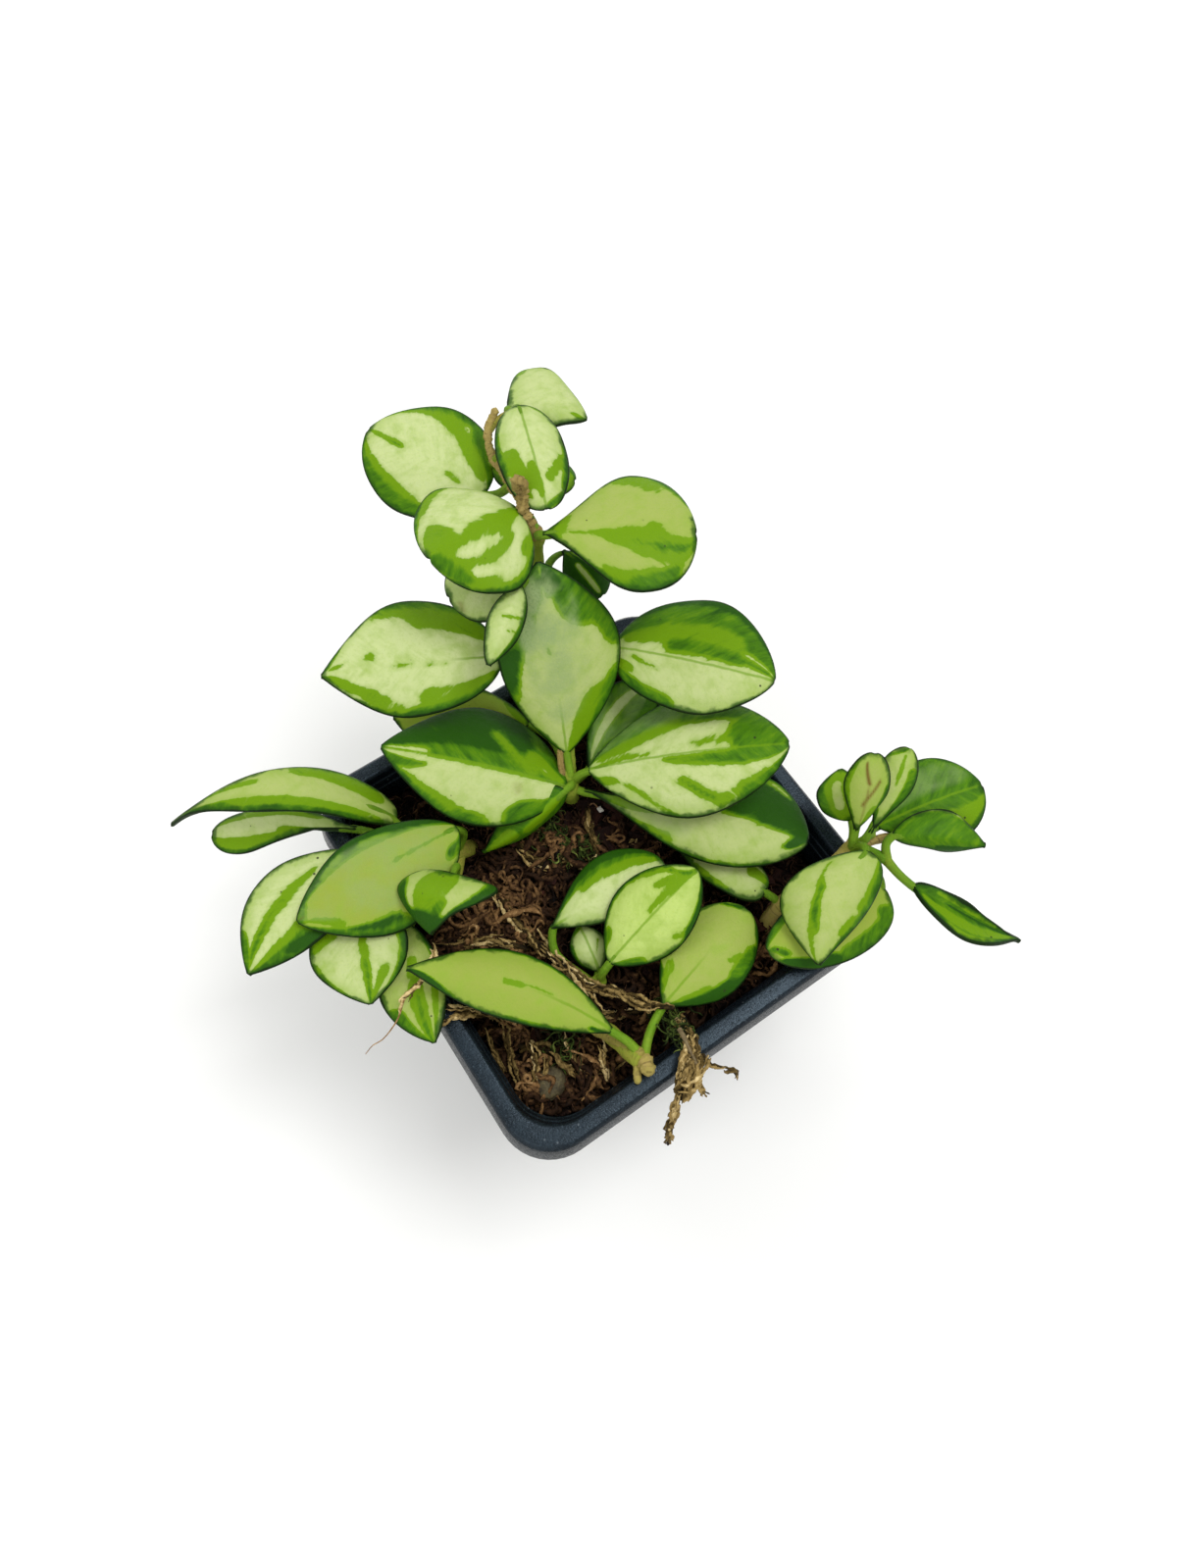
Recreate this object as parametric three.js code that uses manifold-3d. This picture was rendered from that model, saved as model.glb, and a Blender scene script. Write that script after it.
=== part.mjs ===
// A variegated hoya with small round leaves, growing in a square nursery pot.
// Units are millimetres and Z is up. The origin is the middle of the pot's foot,
// on the surface that the pot stands on. The pot's sides run along X and Y.

import * as THREE from "three";
import { mergeVertices } from "three/addons/utils/BufferGeometryUtils.js";
import Module from "manifold-3d";

const wasm = await Module();
wasm.setup();

// Pot sizes
const RIM_SIDE = 100;
const FOOT_SIDE = 70;
const POT_HEIGHT = 85;
const RIM_CORNER = 11.5;
const MOUTH_CORNER = 10;
const FOOT_CORNER = 8;
const RIM_TOP_SIDE = 96.8;
const MOUTH_SIDE = 89.6;
const RIM_THICKNESS = 1.4;
const SKIRT_WALL = 1.1;
const EDGE_ROUND = 0.7;
const SKIRT_DROP = 6;
const POT_WALL = 1.1;
const POT_CORNER_STEPS = 6;
const FLOOR_THICKNESS = 1.5;
const DRAIN_RADIUS = 4;
const DRAIN_OFFSET = 22;
const DRAIN_SIDES = 16;

// Clearance that keeps touching pieces apart
const GAP = 0.3;

// Drain holes are cut right through the floor
const DRAIN_CUT = 6 * FLOOR_THICKNESS;

// Growing medium
const MEDIUM_TOP = 74;
const MEDIUM_BANK = 2;
const MEDIUM_SPANS = 7;
const MEDIUM_EDGE = 0.99;
const MEDIUM_CORNER_STEPS = 4;
const MEDIUM_SIDE_STEPS = 6;
const MEDIUM_RELIEF = 1.1;
const STRAND_SIDES = 5;
const STRAND_STEP = 6;

// Blade thickness at the midrib and at the margin. It thins towards both ends.
const BLADE_MIDDLE = 1.5;
const BLADE_EDGE = 0.8;
const BLADE_END_SHARE = 0.1;
const BLADE_TIP_HALF_WIDTH = 0.5;
const BLADE_SPAN_LENGTH = 4.5;
const BLADE_MOST_SPANS = 9;
const BLADE_STRIPS = 4;
const SLOPE_STEP = 0.02;

// Stems and petioles
const PETIOLE_RADIUS = 0.95;
const PETIOLE_SINK = 0.45;
const PETIOLE_BEND_REACH = 0.25;
const PETIOLE_BEND_SHARE = 0.35;
const PETIOLE_ENTRY = 0.02;
const PETIOLE_END = 0.12;
const PETIOLE_SIDES = 5;
const STEM_SIDES = 7;
const PETIOLE_STEP = 4;
const STEM_STEP = 5;
const BURIED_FOOT = 62;
const STEM_HOLE_CLEARANCE = 1.4 * GAP;
const STEM_HOLE_EXTRA_DEPTH = 1.5;

const UP = new THREE.Vector3(0, 0, 1);

// Solids

function toManifold(geometry) {
  const bare = geometry.clone();
  bare.deleteAttribute("normal");
  bare.deleteAttribute("uv");
  const merged = mergeVertices(bare, 1e-4);
  return new wasm.Manifold(new wasm.Mesh({
    numProp: 3,
    vertProperties: new Float32Array(merged.attributes.position.array),
    triVerts: new Uint32Array(merged.index.array),
  }));
}

function toGeometry(manifold) {
  const mesh = manifold.getMesh();
  const geometry = new THREE.BufferGeometry();
  geometry.setAttribute("position", new THREE.BufferAttribute(new Float32Array(mesh.vertProperties), 3));
  geometry.setIndex(new THREE.BufferAttribute(new Uint32Array(mesh.triVerts), 1));
  geometry.computeVertexNormals();
  return geometry;
}

function joined(manifolds) {
  return manifolds.reduce((whole, piece) => whole.add(piece));
}

function indexedGeometry(points, triangles) {
  const geometry = new THREE.BufferGeometry();
  geometry.setAttribute("position", new THREE.Float32BufferAttribute(points.flat(), 3));
  geometry.setIndex(triangles);
  geometry.computeVertexNormals();
  return geometry;
}

// Rings of equal length, joined one to the next, with a middle point at each end
function loftRings(rings, firstMiddle, lastMiddle) {
  const count = rings[0].length;
  const points = [...rings.flat(), firstMiddle, lastMiddle];
  const first = points.length - 2;
  const last = points.length - 1;
  const end = (rings.length - 1) * count;
  const triangles = [];
  for (let i = 0; i < count; i++) {
    const next = (i + 1) % count;
    triangles.push(first, next, i);
    triangles.push(last, end + i, end + next);
    for (let ring = 0; ring < rings.length - 1; ring++) {
      const low = ring * count;
      const high = low + count;
      triangles.push(low + i, low + next, high + next, low + i, high + next, high + i);
    }
  }
  return indexedGeometry(points, triangles);
}

function roundedSquare(half, corner, height, cornerSteps, sideSteps) {
  const ring = [];
  const reach = half - corner;
  for (let quarter = 0; quarter < 4; quarter++) {
    const start = (quarter * Math.PI) / 2;
    const cos = Math.cos(start);
    const sin = Math.sin(start);
    const add = (x, y) => ring.push([x * cos - y * sin, x * sin + y * cos, height]);
    for (let step = 0; step <= cornerSteps; step++) {
      const angle = (step / cornerSteps) * (Math.PI / 2);
      add(reach + corner * Math.cos(angle), reach + corner * Math.sin(angle));
    }
    for (let step = 1; step < sideSteps; step++) {
      add(reach - (2 * reach * step) / sideSteps, half);
    }
  }
  return ring;
}

function tube(points, radius, sides, spacing) {
  const knots = points.map((point) => new THREE.Vector3(...point));
  const curve = new THREE.CatmullRomCurve3(knots, false, "centripetal");
  const section = new THREE.Shape();
  for (let i = 0; i < sides; i++) {
    const angle = (i / sides) * 2 * Math.PI;
    const x = radius * Math.cos(angle);
    const y = radius * Math.sin(angle);
    if (i === 0) section.moveTo(x, y);
    else section.lineTo(x, y);
  }
  section.closePath();
  const steps = Math.max(2, Math.round(curve.getLength() / spacing));
  return toManifold(new THREE.ExtrudeGeometry(section, { steps, bevelEnabled: false, extrudePath: curve }));
}

// Pot

function innerHalf(height) {
  const floor = FOOT_SIDE / 2 - POT_WALL;
  const mouth = MOUTH_SIDE / 2;
  const share = (height - FLOOR_THICKNESS) / (POT_HEIGHT - FLOOR_THICKNESS);
  return floor + (mouth - floor) * share;
}

function innerCorner(height) {
  const floor = FOOT_CORNER - POT_WALL;
  const share = (height - FLOOR_THICKNESS) / (POT_HEIGHT - FLOOR_THICKNESS);
  return floor + (MOUTH_CORNER - floor) * share;
}

function makePot() {
  const rimHalf = RIM_SIDE / 2;
  const topHalf = RIM_TOP_SIDE / 2;
  const topCorner = RIM_CORNER - (rimHalf - topHalf);
  const underRim = POT_HEIGHT - RIM_THICKNESS;
  const skirtFoot = POT_HEIGHT - SKIRT_DROP;
  const lip = POT_HEIGHT - EDGE_ROUND;
  const bodyTop = innerHalf(underRim) + POT_WALL;
  const profile = [
    [FOOT_SIDE / 2 - EDGE_ROUND, 0, FOOT_CORNER - EDGE_ROUND],
    [FOOT_SIDE / 2, EDGE_ROUND, FOOT_CORNER],
    [bodyTop, underRim, innerCorner(underRim) + POT_WALL],
    [topHalf - SKIRT_WALL, underRim, topCorner - SKIRT_WALL],
    [rimHalf - SKIRT_WALL, skirtFoot, RIM_CORNER - SKIRT_WALL],
    [rimHalf, skirtFoot, RIM_CORNER],
    [topHalf, lip, topCorner],
    [topHalf - EDGE_ROUND, POT_HEIGHT, topCorner - EDGE_ROUND],
    [MOUTH_SIDE / 2 + EDGE_ROUND, POT_HEIGHT, MOUTH_CORNER + EDGE_ROUND],
    [innerHalf(lip), lip, innerCorner(lip)],
    [innerHalf(FLOOR_THICKNESS), FLOOR_THICKNESS, innerCorner(FLOOR_THICKNESS)],
  ];
  const rings = profile.map(([half, height, corner]) => (
    roundedSquare(half, corner, height, POT_CORNER_STEPS, 1)
  ));
  let pot = toManifold(loftRings(rings, [0, 0, 0], [0, 0, FLOOR_THICKNESS]));
  for (const x of [-DRAIN_OFFSET, DRAIN_OFFSET]) {
    for (const y of [-DRAIN_OFFSET, DRAIN_OFFSET]) {
      const drain = new THREE.CylinderGeometry(DRAIN_RADIUS, DRAIN_RADIUS, DRAIN_CUT, DRAIN_SIDES);
      drain.rotateX(Math.PI / 2);
      drain.translate(x, y, 0);
      pot = pot.subtract(toManifold(drain));
    }
  }
  return toGeometry(pot);
}

// Stems of the five shoots. Each route is a list of points from under the medium to the last leaf.

const STEMS = {
  tall: [
    { radius: 1.7, route: [[5, 18, 62], [5, 18, 74], [3, 17, 86], [10, 28, 93], [14, 38, 101]] },
    { radius: 1.3, route: [[13, 36, 99], [14, 38, 101], [17, 47, 110], [21, 56, 117], [22, 57, 122]] },
    {
      radius: 1.1,
      route: [[22, 56, 121], [23, 64, 123], [24, 71, 123], [25, 81, 123.5], [27, 85, 125], [30.5, 87, 128]],
    },
    { radius: 0.9, route: [[26.5, 84.5, 124.5], [29.5, 85.5, 126], [34, 85, 127]] },
    { radius: 1.3, route: [[22, 57, 121], [21, 61, 127], [22, 63, 131], [21, 63, 135]] },
    { radius: 0.8, route: [[5, 18, 73], [3, 19, 89], [5, 23, 93], [8, 25, 95]] },
  ],
  left: [
    {
      radius: 1.9,
      route: [[-19, 20, 62], [-21, 21, 73], [-25, 20, 79], [-29, 20, 82], [-34, 23, 84], [-38, 27, 85]],
    },
    { radius: 1.4, route: [[-25, 20, 79], [-32, 12, 82], [-37, 9, 84]] },
  ],
  front: [
    { radius: 1.9, route: [[-22, -24, 62], [-21, -28, 73], [-20, -34, 81], [-19, -40, 85], [-18, -43, 87]] },
    { radius: 1.6, route: [[-19, -40, 85], [-18, -44, 87.5], [-19, -46, 88.5]] },
  ],
  middle: [
    { radius: 1.5, route: [[-19, -17, 62], [-18, -20, 73], [-16, -23, 78], [-15, -23, 81]] },
  ],
  right: [
    { radius: 2.0, route: [[22, -33, 62], [24, -33, 72], [28.5, -32, 79], [34, -32, 85]] },
    { radius: 1.5, route: [[32, -32, 83], [34, -32, 85], [41, -32, 90.5], [47, -32, 94]] },
    { radius: 1.0, route: [[45.5, -32, 93], [50, -33, 93], [55, -34.5, 92]] },
    { radius: 1.1, route: [[46, -32, 93.5], [48, -35, 94], [49.5, -38.5, 94]] },
  ],
};

// Leaves. The stalk leaves the stem at "from", the blade runs from "heel" to "tip", and "width"
// is its widest. widest is where that lies along the blade, and leftWidest is where it lies on the
// left half if that differs. heelShape and tipShape are blunt when small. cup and fold are degrees
// that the halves hang down, and farFold is the right half's own fold. arch and sweep are
// millimetres that the midrib rises and swings, roll turns the blade about it, and bias makes the
// left half wider.

const PLAIN_LEAF = {
  widest: 0.5, leftWidest: null, heelShape: 0.75, tipShape: 0.8, cup: 25, fold: 6, farFold: null,
  arch: 2, sweep: 0, roll: 0, bias: 0,
};

const LEAVES = {
  tall: [
    { from: [4, 17, 88], heel: [6, 22, 93], tip: [18, 51, 123], width: 28.5,
      widest: 0.54, heelShape: 0.7, tipShape: 0.85, cup: 20, fold: 3, bias: -0.14 },
    { from: [4, 17, 87], heel: [2, 16, 90], tip: [-29, 43, 100], width: 31.5,
      widest: 0.45, cup: 20, fold: 10, bias: -0.14 },
    { from: [4, 17, 88], heel: [1, 15, 91], tip: [-21, 16, 82], width: 12,
      widest: 0.4, heelShape: 0.7, tipShape: 1, cup: 10, fold: 35, roll: 50 },
    { from: [4, 17, 87], heel: [8, 16, 92], tip: [45, -7, 103], width: 32,
      widest: 0.52, heelShape: 0.7, tipShape: 0.65, cup: 30, fold: 5, bias: 0.11 },
    { from: [4, 17, 85], heel: [5, 15, 86], tip: [39, -25, 91], width: 27.5,
      widest: 0.6, leftWidest: 0.72, heelShape: 1.15, tipShape: 0.6, cup: 30, arch: 1, bias: 0.26 },
    { from: [14, 38, 102], heel: [27, 34, 103], tip: [49, 5, 109], width: 30,
      heelShape: 0.42, tipShape: 0.66, cup: 20, fold: 5, arch: 1, roll: -8, bias: 0.24 },
    { from: [14, 38, 102], heel: [4, 45, 105], tip: [-32, 62, 106], width: 30,
      heelShape: 0.5, tipShape: 0.9, cup: 20, fold: 4, arch: 1, roll: 8, bias: -0.22 },
    { from: [5, 21, 88], heel: [4, 35, 88], tip: [-22, 53, 90], width: 20,
      cup: 10, fold: 2, arch: 0 },
    { from: [4, 18, 84], heel: [10, 19, 84], tip: [36, 29, 87], width: 16,
      widest: 0.55, cup: -10, fold: -18 },
    { from: [24, 71, 123], heel: [19, 75, 119], tip: [6, 103, 121], width: 30,
      heelShape: 0.45, tipShape: 0.45, cup: 20, arch: 1, roll: 10, bias: -0.13 },
    { from: [22, 57, 122], heel: [20, 62, 127], tip: [-2, 60.5, 128], width: 33,
      heelShape: 0.42, tipShape: 0.48, bias: -0.06 },
    { from: [34, 85, 126], heel: [34, 88, 125], tip: [48, 77, 123], width: 22,
      widest: 0.3, heelShape: 0.32, tipShape: 0.7, cup: 20, bias: 0.52 },
    { from: [33, 84, 126], heel: [34, 83, 130], tip: [25, 58, 128], width: 16,
      heelShape: 0.3, tipShape: 0.45 },
    { from: [25, 78, 124], heel: [25, 80, 120], tip: [38, 67, 119], width: 14,
      heelShape: 0.4, tipShape: 0.4 },
    { from: [22, 57, 122], heel: [22, 55, 125], tip: [49, 37, 125], width: 32.5,
      widest: 0.64, heelShape: 0.74, tipShape: 0.42, cup: 20, fold: 4, bias: 0.13 },
    { from: [17, 47, 110], heel: [29, 58, 110], tip: [31, 45, 107], width: 12,
      widest: 0.6, heelShape: 0.8, tipShape: 0.5 },
    { from: [19, 52, 114], heel: [16, 57, 115], tip: [0, 59, 114], width: 20,
      heelShape: 0.5, tipShape: 0.4 },
    { from: [19, 52, 114], heel: [12, 48.5, 122], tip: [-3, 37.5, 119], width: 8.5,
      widest: 0.45, heelShape: 0.8, tipShape: 0.7, cup: 10, fold: 20, roll: 10 },
  ],
  left: [
    { from: [-37, 27, 84], heel: [-34, 32, 86], tip: [-76, 57, 90], width: 12.5,
      widest: 0.28, leftWidest: 0.48, heelShape: 0.45, tipShape: 1.5, fold: 10, arch: 14, sweep: -3,
      bias: -0.13 },
    { from: [-37, 26, 85], heel: [-42, 35, 86], tip: [-70, 52, 86], width: 12,
      widest: 0.55, leftWidest: 0.77, heelShape: 1.2, tipShape: 0.4, bias: -0.12 },
    { from: [-38, 27, 85], heel: [-47, 30, 91], tip: [-77, 17, 91], width: 20.5,
      widest: 0.52, leftWidest: 0.4, heelShape: 0.7, cup: 12, fold: 0, bias: -0.09 },
    { from: [-26, 20, 80], heel: [-24, 21, 91], tip: [-63, 20, 95], width: 24.5,
      heelShape: 0.6, tipShape: 0.75, cup: 20, fold: 3, bias: 0.14 },
    { from: [-31, 13, 81], heel: [-31, 10, 98], tip: [-41, 2, 96], width: 22.5,
      widest: 0.42, leftWidest: 0.1, heelShape: 0.35, tipShape: 0.9, cup: 30, fold: -12, farFold: 6,
      arch: 4, roll: -10 },
    { from: [-33, 12, 82], heel: [-50, 21, 90], tip: [-59, -2, 89], width: 21.5,
      heelShape: 0.6, cup: 12, fold: 0, arch: 1, bias: -0.08 },
    { from: [-37, 9, 84], heel: [-44, 9, 87], tip: [-52, -16, 88], width: 14.5,
      heelShape: 0.6, tipShape: 0.75, cup: 10, fold: 2, arch: 0, bias: -0.31 },
  ],
  front: [
    { from: [-18, -42, 87], heel: [-20, -35, 88], tip: [-49, -1, 94], width: 15.5,
      heelShape: 0.9, tipShape: 0.9, cup: 30, arch: 3, sweep: -3 },
    { from: [-18, -43, 87], heel: [-8, -36, 86], tip: [20, -29, 85], width: 20.5,
      widest: 0.52, heelShape: 0.85, tipShape: 0.42, cup: 30 },
  ],
  middle: [
    { from: [-15, -23, 80], heel: [-12, -22, 86], tip: [14, -17, 93], width: 19.5,
      heelShape: 0.65, tipShape: 0.6, bias: 0.07 },
    { from: [-17, -21, 77], heel: [-18, -8, 83], tip: [11, -10, 85], width: 16.5,
      widest: 0.58, heelShape: 0.8, tipShape: 0.45, bias: 0.2 },
    { from: [-17, -22, 76], heel: [-14, -21, 79], tip: [-12, -10, 79], width: 9 },
  ],
  right: [
    { from: [29, -32, 79], heel: [27, -27.5, 82], tip: [17, -7, 81], width: 11.5,
      widest: 0.4, heelShape: 0.4, bias: -0.1 },
    { from: [45, -32, 94], heel: [45, -35, 99], tip: [23, -48, 93], width: 20,
      widest: 0.6, leftWidest: 0.38, heelShape: 0.55, tipShape: 0.9, cup: 30, fold: 10, arch: 3,
      sweep: -3, bias: -0.1 },
    { from: [43, -32, 92], heel: [47, -42.5, 89], tip: [17, -39.5, 89], width: 18,
      widest: 0.45, heelShape: 0.3, tipShape: 0.5, cup: 20, bias: 0.16 },
    { from: [45, -32, 94], heel: [46, -30, 99], tip: [54, -21, 113], width: 10.3,
      widest: 0.6, heelShape: 0.9, tipShape: 0.5, cup: 20, fold: 15 },
    { from: [47, -32, 94], heel: [49, -32, 97], tip: [64, -23, 107], width: 9,
      widest: 0.65, heelShape: 0.9, tipShape: 0.5 },
    { from: [46, -31, 94], heel: [49, -27, 95], tip: [53, -17, 98], width: 10.5,
      heelShape: 0.5, tipShape: 0.7, bias: 0.4 },
    { from: [50, -32, 95], heel: [53, -31, 93], tip: [77, -37, 97], width: 22,
      widest: 0.58, heelShape: 0.7, tipShape: 0.42, bias: 0.09 },
    { from: [49.5, -38.5, 94], heel: [53, -35, 97], tip: [68, -48, 97], width: 10.5,
      heelShape: 0.6, tipShape: 0.9, cup: 10, fold: -5, farFold: 60, bias: 0.25 },
    { from: [49.5, -38.5, 94], heel: [51, -46, 93], tip: [65, -68, 87], width: 9.8,
      widest: 0.45, leftWidest: 0.3, heelShape: 0.7, tipShape: 1.1, cup: -20, fold: -15, sweep: -1.6,
      bias: -0.42 },
  ],
};

function bladeFrame(leaf) {
  const heel = new THREE.Vector3(...leaf.heel);
  const along = new THREE.Vector3(...leaf.tip).sub(heel);
  const length = along.length();
  along.normalize();
  const level = UP.clone().addScaledVector(along, -UP.dot(along)).normalize();
  const left = new THREE.Vector3().crossVectors(level, along);
  const roll = THREE.MathUtils.degToRad(leaf.roll);
  const normal = level.multiplyScalar(Math.cos(roll)).addScaledVector(left, Math.sin(roll));
  const side = new THREE.Vector3().crossVectors(normal, along);
  return { heel, along, length, normal, side };
}

function bladeHalfWidth(leaf, u, v) {
  const widest = v > 0 && leaf.leftWidest !== null ? leaf.leftWidest : leaf.widest;
  const share = Math.pow(u, Math.log(0.5) / Math.log(widest));
  const swell = Math.max(Math.sin(Math.PI * share), 0);
  const fullness = Math.pow(swell, share < 0.5 ? leaf.heelShape : leaf.tipShape);
  return Math.max((leaf.width / 2) * fullness, BLADE_TIP_HALF_WIDTH) * (1 + leaf.bias * Math.sign(v));
}

function bladePoint(leaf, frame, u, v) {
  const half = bladeHalfWidth(leaf, u, v);
  const fold = v < 0 && leaf.farFold !== null ? leaf.farFold : leaf.fold;
  const slope = THREE.MathUtils.degToRad(fold + (leaf.cup * Math.abs(v)) / 2);
  const bow = 4 * u * (1 - u);
  const across = half * v * Math.cos(slope) + leaf.sweep * bow;
  const rise = leaf.arch * bow - half * Math.abs(v) * Math.sin(slope);
  return frame.heel.clone()
    .addScaledVector(frame.along, u * frame.length)
    .addScaledVector(frame.side, across)
    .addScaledVector(frame.normal, rise);
}

function bladeNormal(leaf, frame, u, v) {
  const lengthwise = bladePoint(leaf, frame, Math.min(u + SLOPE_STEP, 1), v)
    .sub(bladePoint(leaf, frame, Math.max(u - SLOPE_STEP, 0), v));
  const crosswise = bladePoint(leaf, frame, u, Math.min(v + SLOPE_STEP, 1))
    .sub(bladePoint(leaf, frame, u, Math.max(v - SLOPE_STEP, -1)));
  return lengthwise.cross(crosswise).normalize();
}

function bladeThickness(u, v) {
  const inward = BLADE_END_SHARE + (1 - 2 * BLADE_END_SHARE) * u;
  return BLADE_EDGE + (BLADE_MIDDLE - BLADE_EDGE) * (1 - v * v) * Math.sin(Math.PI * inward);
}

// One closed blade: two like-split faces of a grid, and a rim of quads between them
function makeBlade(leaf) {
  const frame = bladeFrame(leaf);
  const spans = Math.min(Math.round(frame.length / BLADE_SPAN_LENGTH), BLADE_MOST_SPANS);
  const row = BLADE_STRIPS + 1;
  const upper = [];
  const lower = [];
  for (let i = 0; i <= spans; i++) {
    const u = 0.5 - 0.5 * Math.cos((Math.PI * i) / spans);
    for (let j = 0; j <= BLADE_STRIPS; j++) {
      const v = (2 * j) / BLADE_STRIPS - 1;
      const point = bladePoint(leaf, frame, u, v);
      const toSkin = bladeNormal(leaf, frame, u, v).multiplyScalar(bladeThickness(u, v) / 2);
      upper.push(point.clone().add(toSkin).toArray());
      lower.push(point.clone().sub(toSkin).toArray());
    }
  }
  const offset = upper.length;
  const triangles = [];
  for (let i = 0; i < spans; i++) {
    for (let j = 0; j < BLADE_STRIPS; j++) {
      const a = i * row + j;
      const b = a + row;
      triangles.push(a, b, b + 1, a, b + 1, a + 1);
      triangles.push(offset + a, offset + b + 1, offset + b, offset + a, offset + a + 1, offset + b + 1);
    }
  }
  const border = [];
  for (let j = 0; j < BLADE_STRIPS; j++) border.push(j);
  for (let i = 0; i < spans; i++) border.push(i * row + BLADE_STRIPS);
  for (let j = BLADE_STRIPS; j > 0; j--) border.push(spans * row + j);
  for (let i = spans; i > 0; i--) border.push(i * row);
  border.forEach((a, k) => {
    const b = border[(k + 1) % border.length];
    triangles.push(a, b, offset + b, a, offset + b, offset + a);
  });
  return toManifold(indexedGeometry([...upper, ...lower], triangles));
}

// The stalk runs from the stem into the underside of the blade
function makePetiole(leaf) {
  const frame = bladeFrame(leaf);
  const sunk = (u) => bladePoint(leaf, frame, u, 0).addScaledVector(frame.normal, -PETIOLE_SINK).toArray();
  const from = new THREE.Vector3(...leaf.from);
  const reach = PETIOLE_BEND_REACH * from.distanceTo(frame.heel);
  const bend = frame.heel.clone().addScaledVector(frame.along, -reach).lerp(from, PETIOLE_BEND_SHARE);
  const route = [leaf.from, bend.toArray(), sunk(PETIOLE_ENTRY), sunk(PETIOLE_END)];
  return tube(route, PETIOLE_RADIUS, PETIOLE_SIDES, PETIOLE_STEP);
}

function makeShoot(name) {
  const pieces = STEMS[name].map((stem) => tube(stem.route, stem.radius, STEM_SIDES, STEM_STEP));
  for (const row of LEAVES[name]) {
    const leaf = { ...PLAIN_LEAF, ...row };
    pieces.push(makeBlade(leaf), makePetiole(leaf));
  }
  return toGeometry(joined(pieces));
}

// Growing medium, with moss strands that lie on it and one tuft over the rim

const STRANDS = [
  { radius: 1.8, route: [[-24, 14, 74], [-21, 6, 75.5], [-20, -6, 75.5], [-21, -15, 75]] },
  { radius: 1.6, route: [[-26, -22, 74.5], [-14, -32, 76], [-4, -34, 76.5], [6, -36, 76], [16, -37, 74.5]] },
  { radius: 1.6, route: [[-40, -22, 74.5], [-32, -30, 76.5], [-27, -38, 75.5], [-14, -40, 74.5]] },
  {
    radius: 1.2,
    route: [[-6, -34, 75], [-6, -41, 83], [-7, -47, 88], [-9, -52, 86], [-14, -55, 79], [-19, -55, 71]],
  },
  { radius: 0.9, route: [[-7, -45, 87.5], [-5, -50, 87.5], [-1, -54, 84], [3, -55, 80], [4, -54, 76]] },
  { radius: 1.6, route: [[4, 2, 74.5], [14, 0, 75.8], [20, 6, 75.5], [30, 6, 74.5]] },
  { radius: 1.8, route: [[-12, 22, 74.5], [-12, 10, 75.8], [-4, 4, 75.5], [4, -6, 74.5]] },
];

function mediumHeight(x, y) {
  const broad = Math.sin(x / 7.3 + 0.6) * Math.cos(y / 8.1 - 0.4);
  const fine = Math.sin(x / 2.9 + y / 4.7) * Math.cos(y / 3.3 - x / 5.1);
  return MEDIUM_TOP + MEDIUM_RELIEF * (broad + 0.6 * fine);
}

function makeMedium(cutters) {
  const floor = FLOOR_THICKNESS + GAP;
  const wallRing = (height) => {
    const half = innerHalf(height) - GAP;
    const corner = innerCorner(height) - GAP;
    return roundedSquare(half, corner, height, MEDIUM_CORNER_STEPS, MEDIUM_SIDE_STEPS);
  };
  const bank = wallRing(MEDIUM_TOP - MEDIUM_BANK);
  const rings = [wallRing(floor), bank];
  for (let span = 0; span < MEDIUM_SPANS; span++) {
    const inward = span === 0 ? MEDIUM_EDGE : 1 - span / MEDIUM_SPANS;
    rings.push(bank.map(([x, y]) => [x * inward, y * inward, mediumHeight(x * inward, y * inward)]));
  }
  const body = toManifold(loftRings(rings, [0, 0, floor], [0, 0, mediumHeight(0, 0)]));
  const strands = STRANDS.map((strand) => tube(strand.route, strand.radius, STRAND_SIDES, STRAND_STEP));
  return toGeometry(cutters.reduce((left, cutter) => left.subtract(cutter), joined([body, ...strands])));
}

// Room for every stem that stands in the medium, a little wider and deeper than the stem
function stemCutters() {
  return Object.values(STEMS).flat().map(({ radius, route }) => {
    const [x, y, z] = route[0];
    const deeper = z <= BURIED_FOOT ? [[x, y, z - STEM_HOLE_EXTRA_DEPTH]] : [];
    return tube([...deeper, ...route], radius + STEM_HOLE_CLEARANCE, STEM_SIDES, STEM_STEP);
  });
}

// A rounded stone that rests in the corner of the medium

const PEBBLE_HALF_SIZES = [4, 3.2, 2.4];
const PEBBLE_PLACE = [-36, -35, 76.6];
const PEBBLE_TURN = 0.5;

function makePebble() {
  const stone = new THREE.IcosahedronGeometry(1, 1);
  stone.scale(...PEBBLE_HALF_SIZES);
  stone.rotateZ(PEBBLE_TURN);
  stone.translate(...PEBBLE_PLACE);
  return toGeometry(toManifold(stone));
}

// Finishes

const BLACK_PLASTIC = new THREE.MeshStandardMaterial({ color: 0x1d262d, roughness: 0.45, metalness: 0 });
const BROWN_MEDIUM = new THREE.MeshStandardMaterial({ color: 0x3a2417, roughness: 0.95, metalness: 0 });
const STONE_GREY = new THREE.MeshStandardMaterial({ color: 0x8c7d68, roughness: 0.8, metalness: 0 });
const LEAF_GREEN = new THREE.MeshStandardMaterial({ color: 0x9dbb52, roughness: 0.4, metalness: 0 });

function named(name, geometry, material) {
  const mesh = new THREE.Mesh(geometry, material);
  mesh.name = name;
  return mesh;
}

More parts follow.
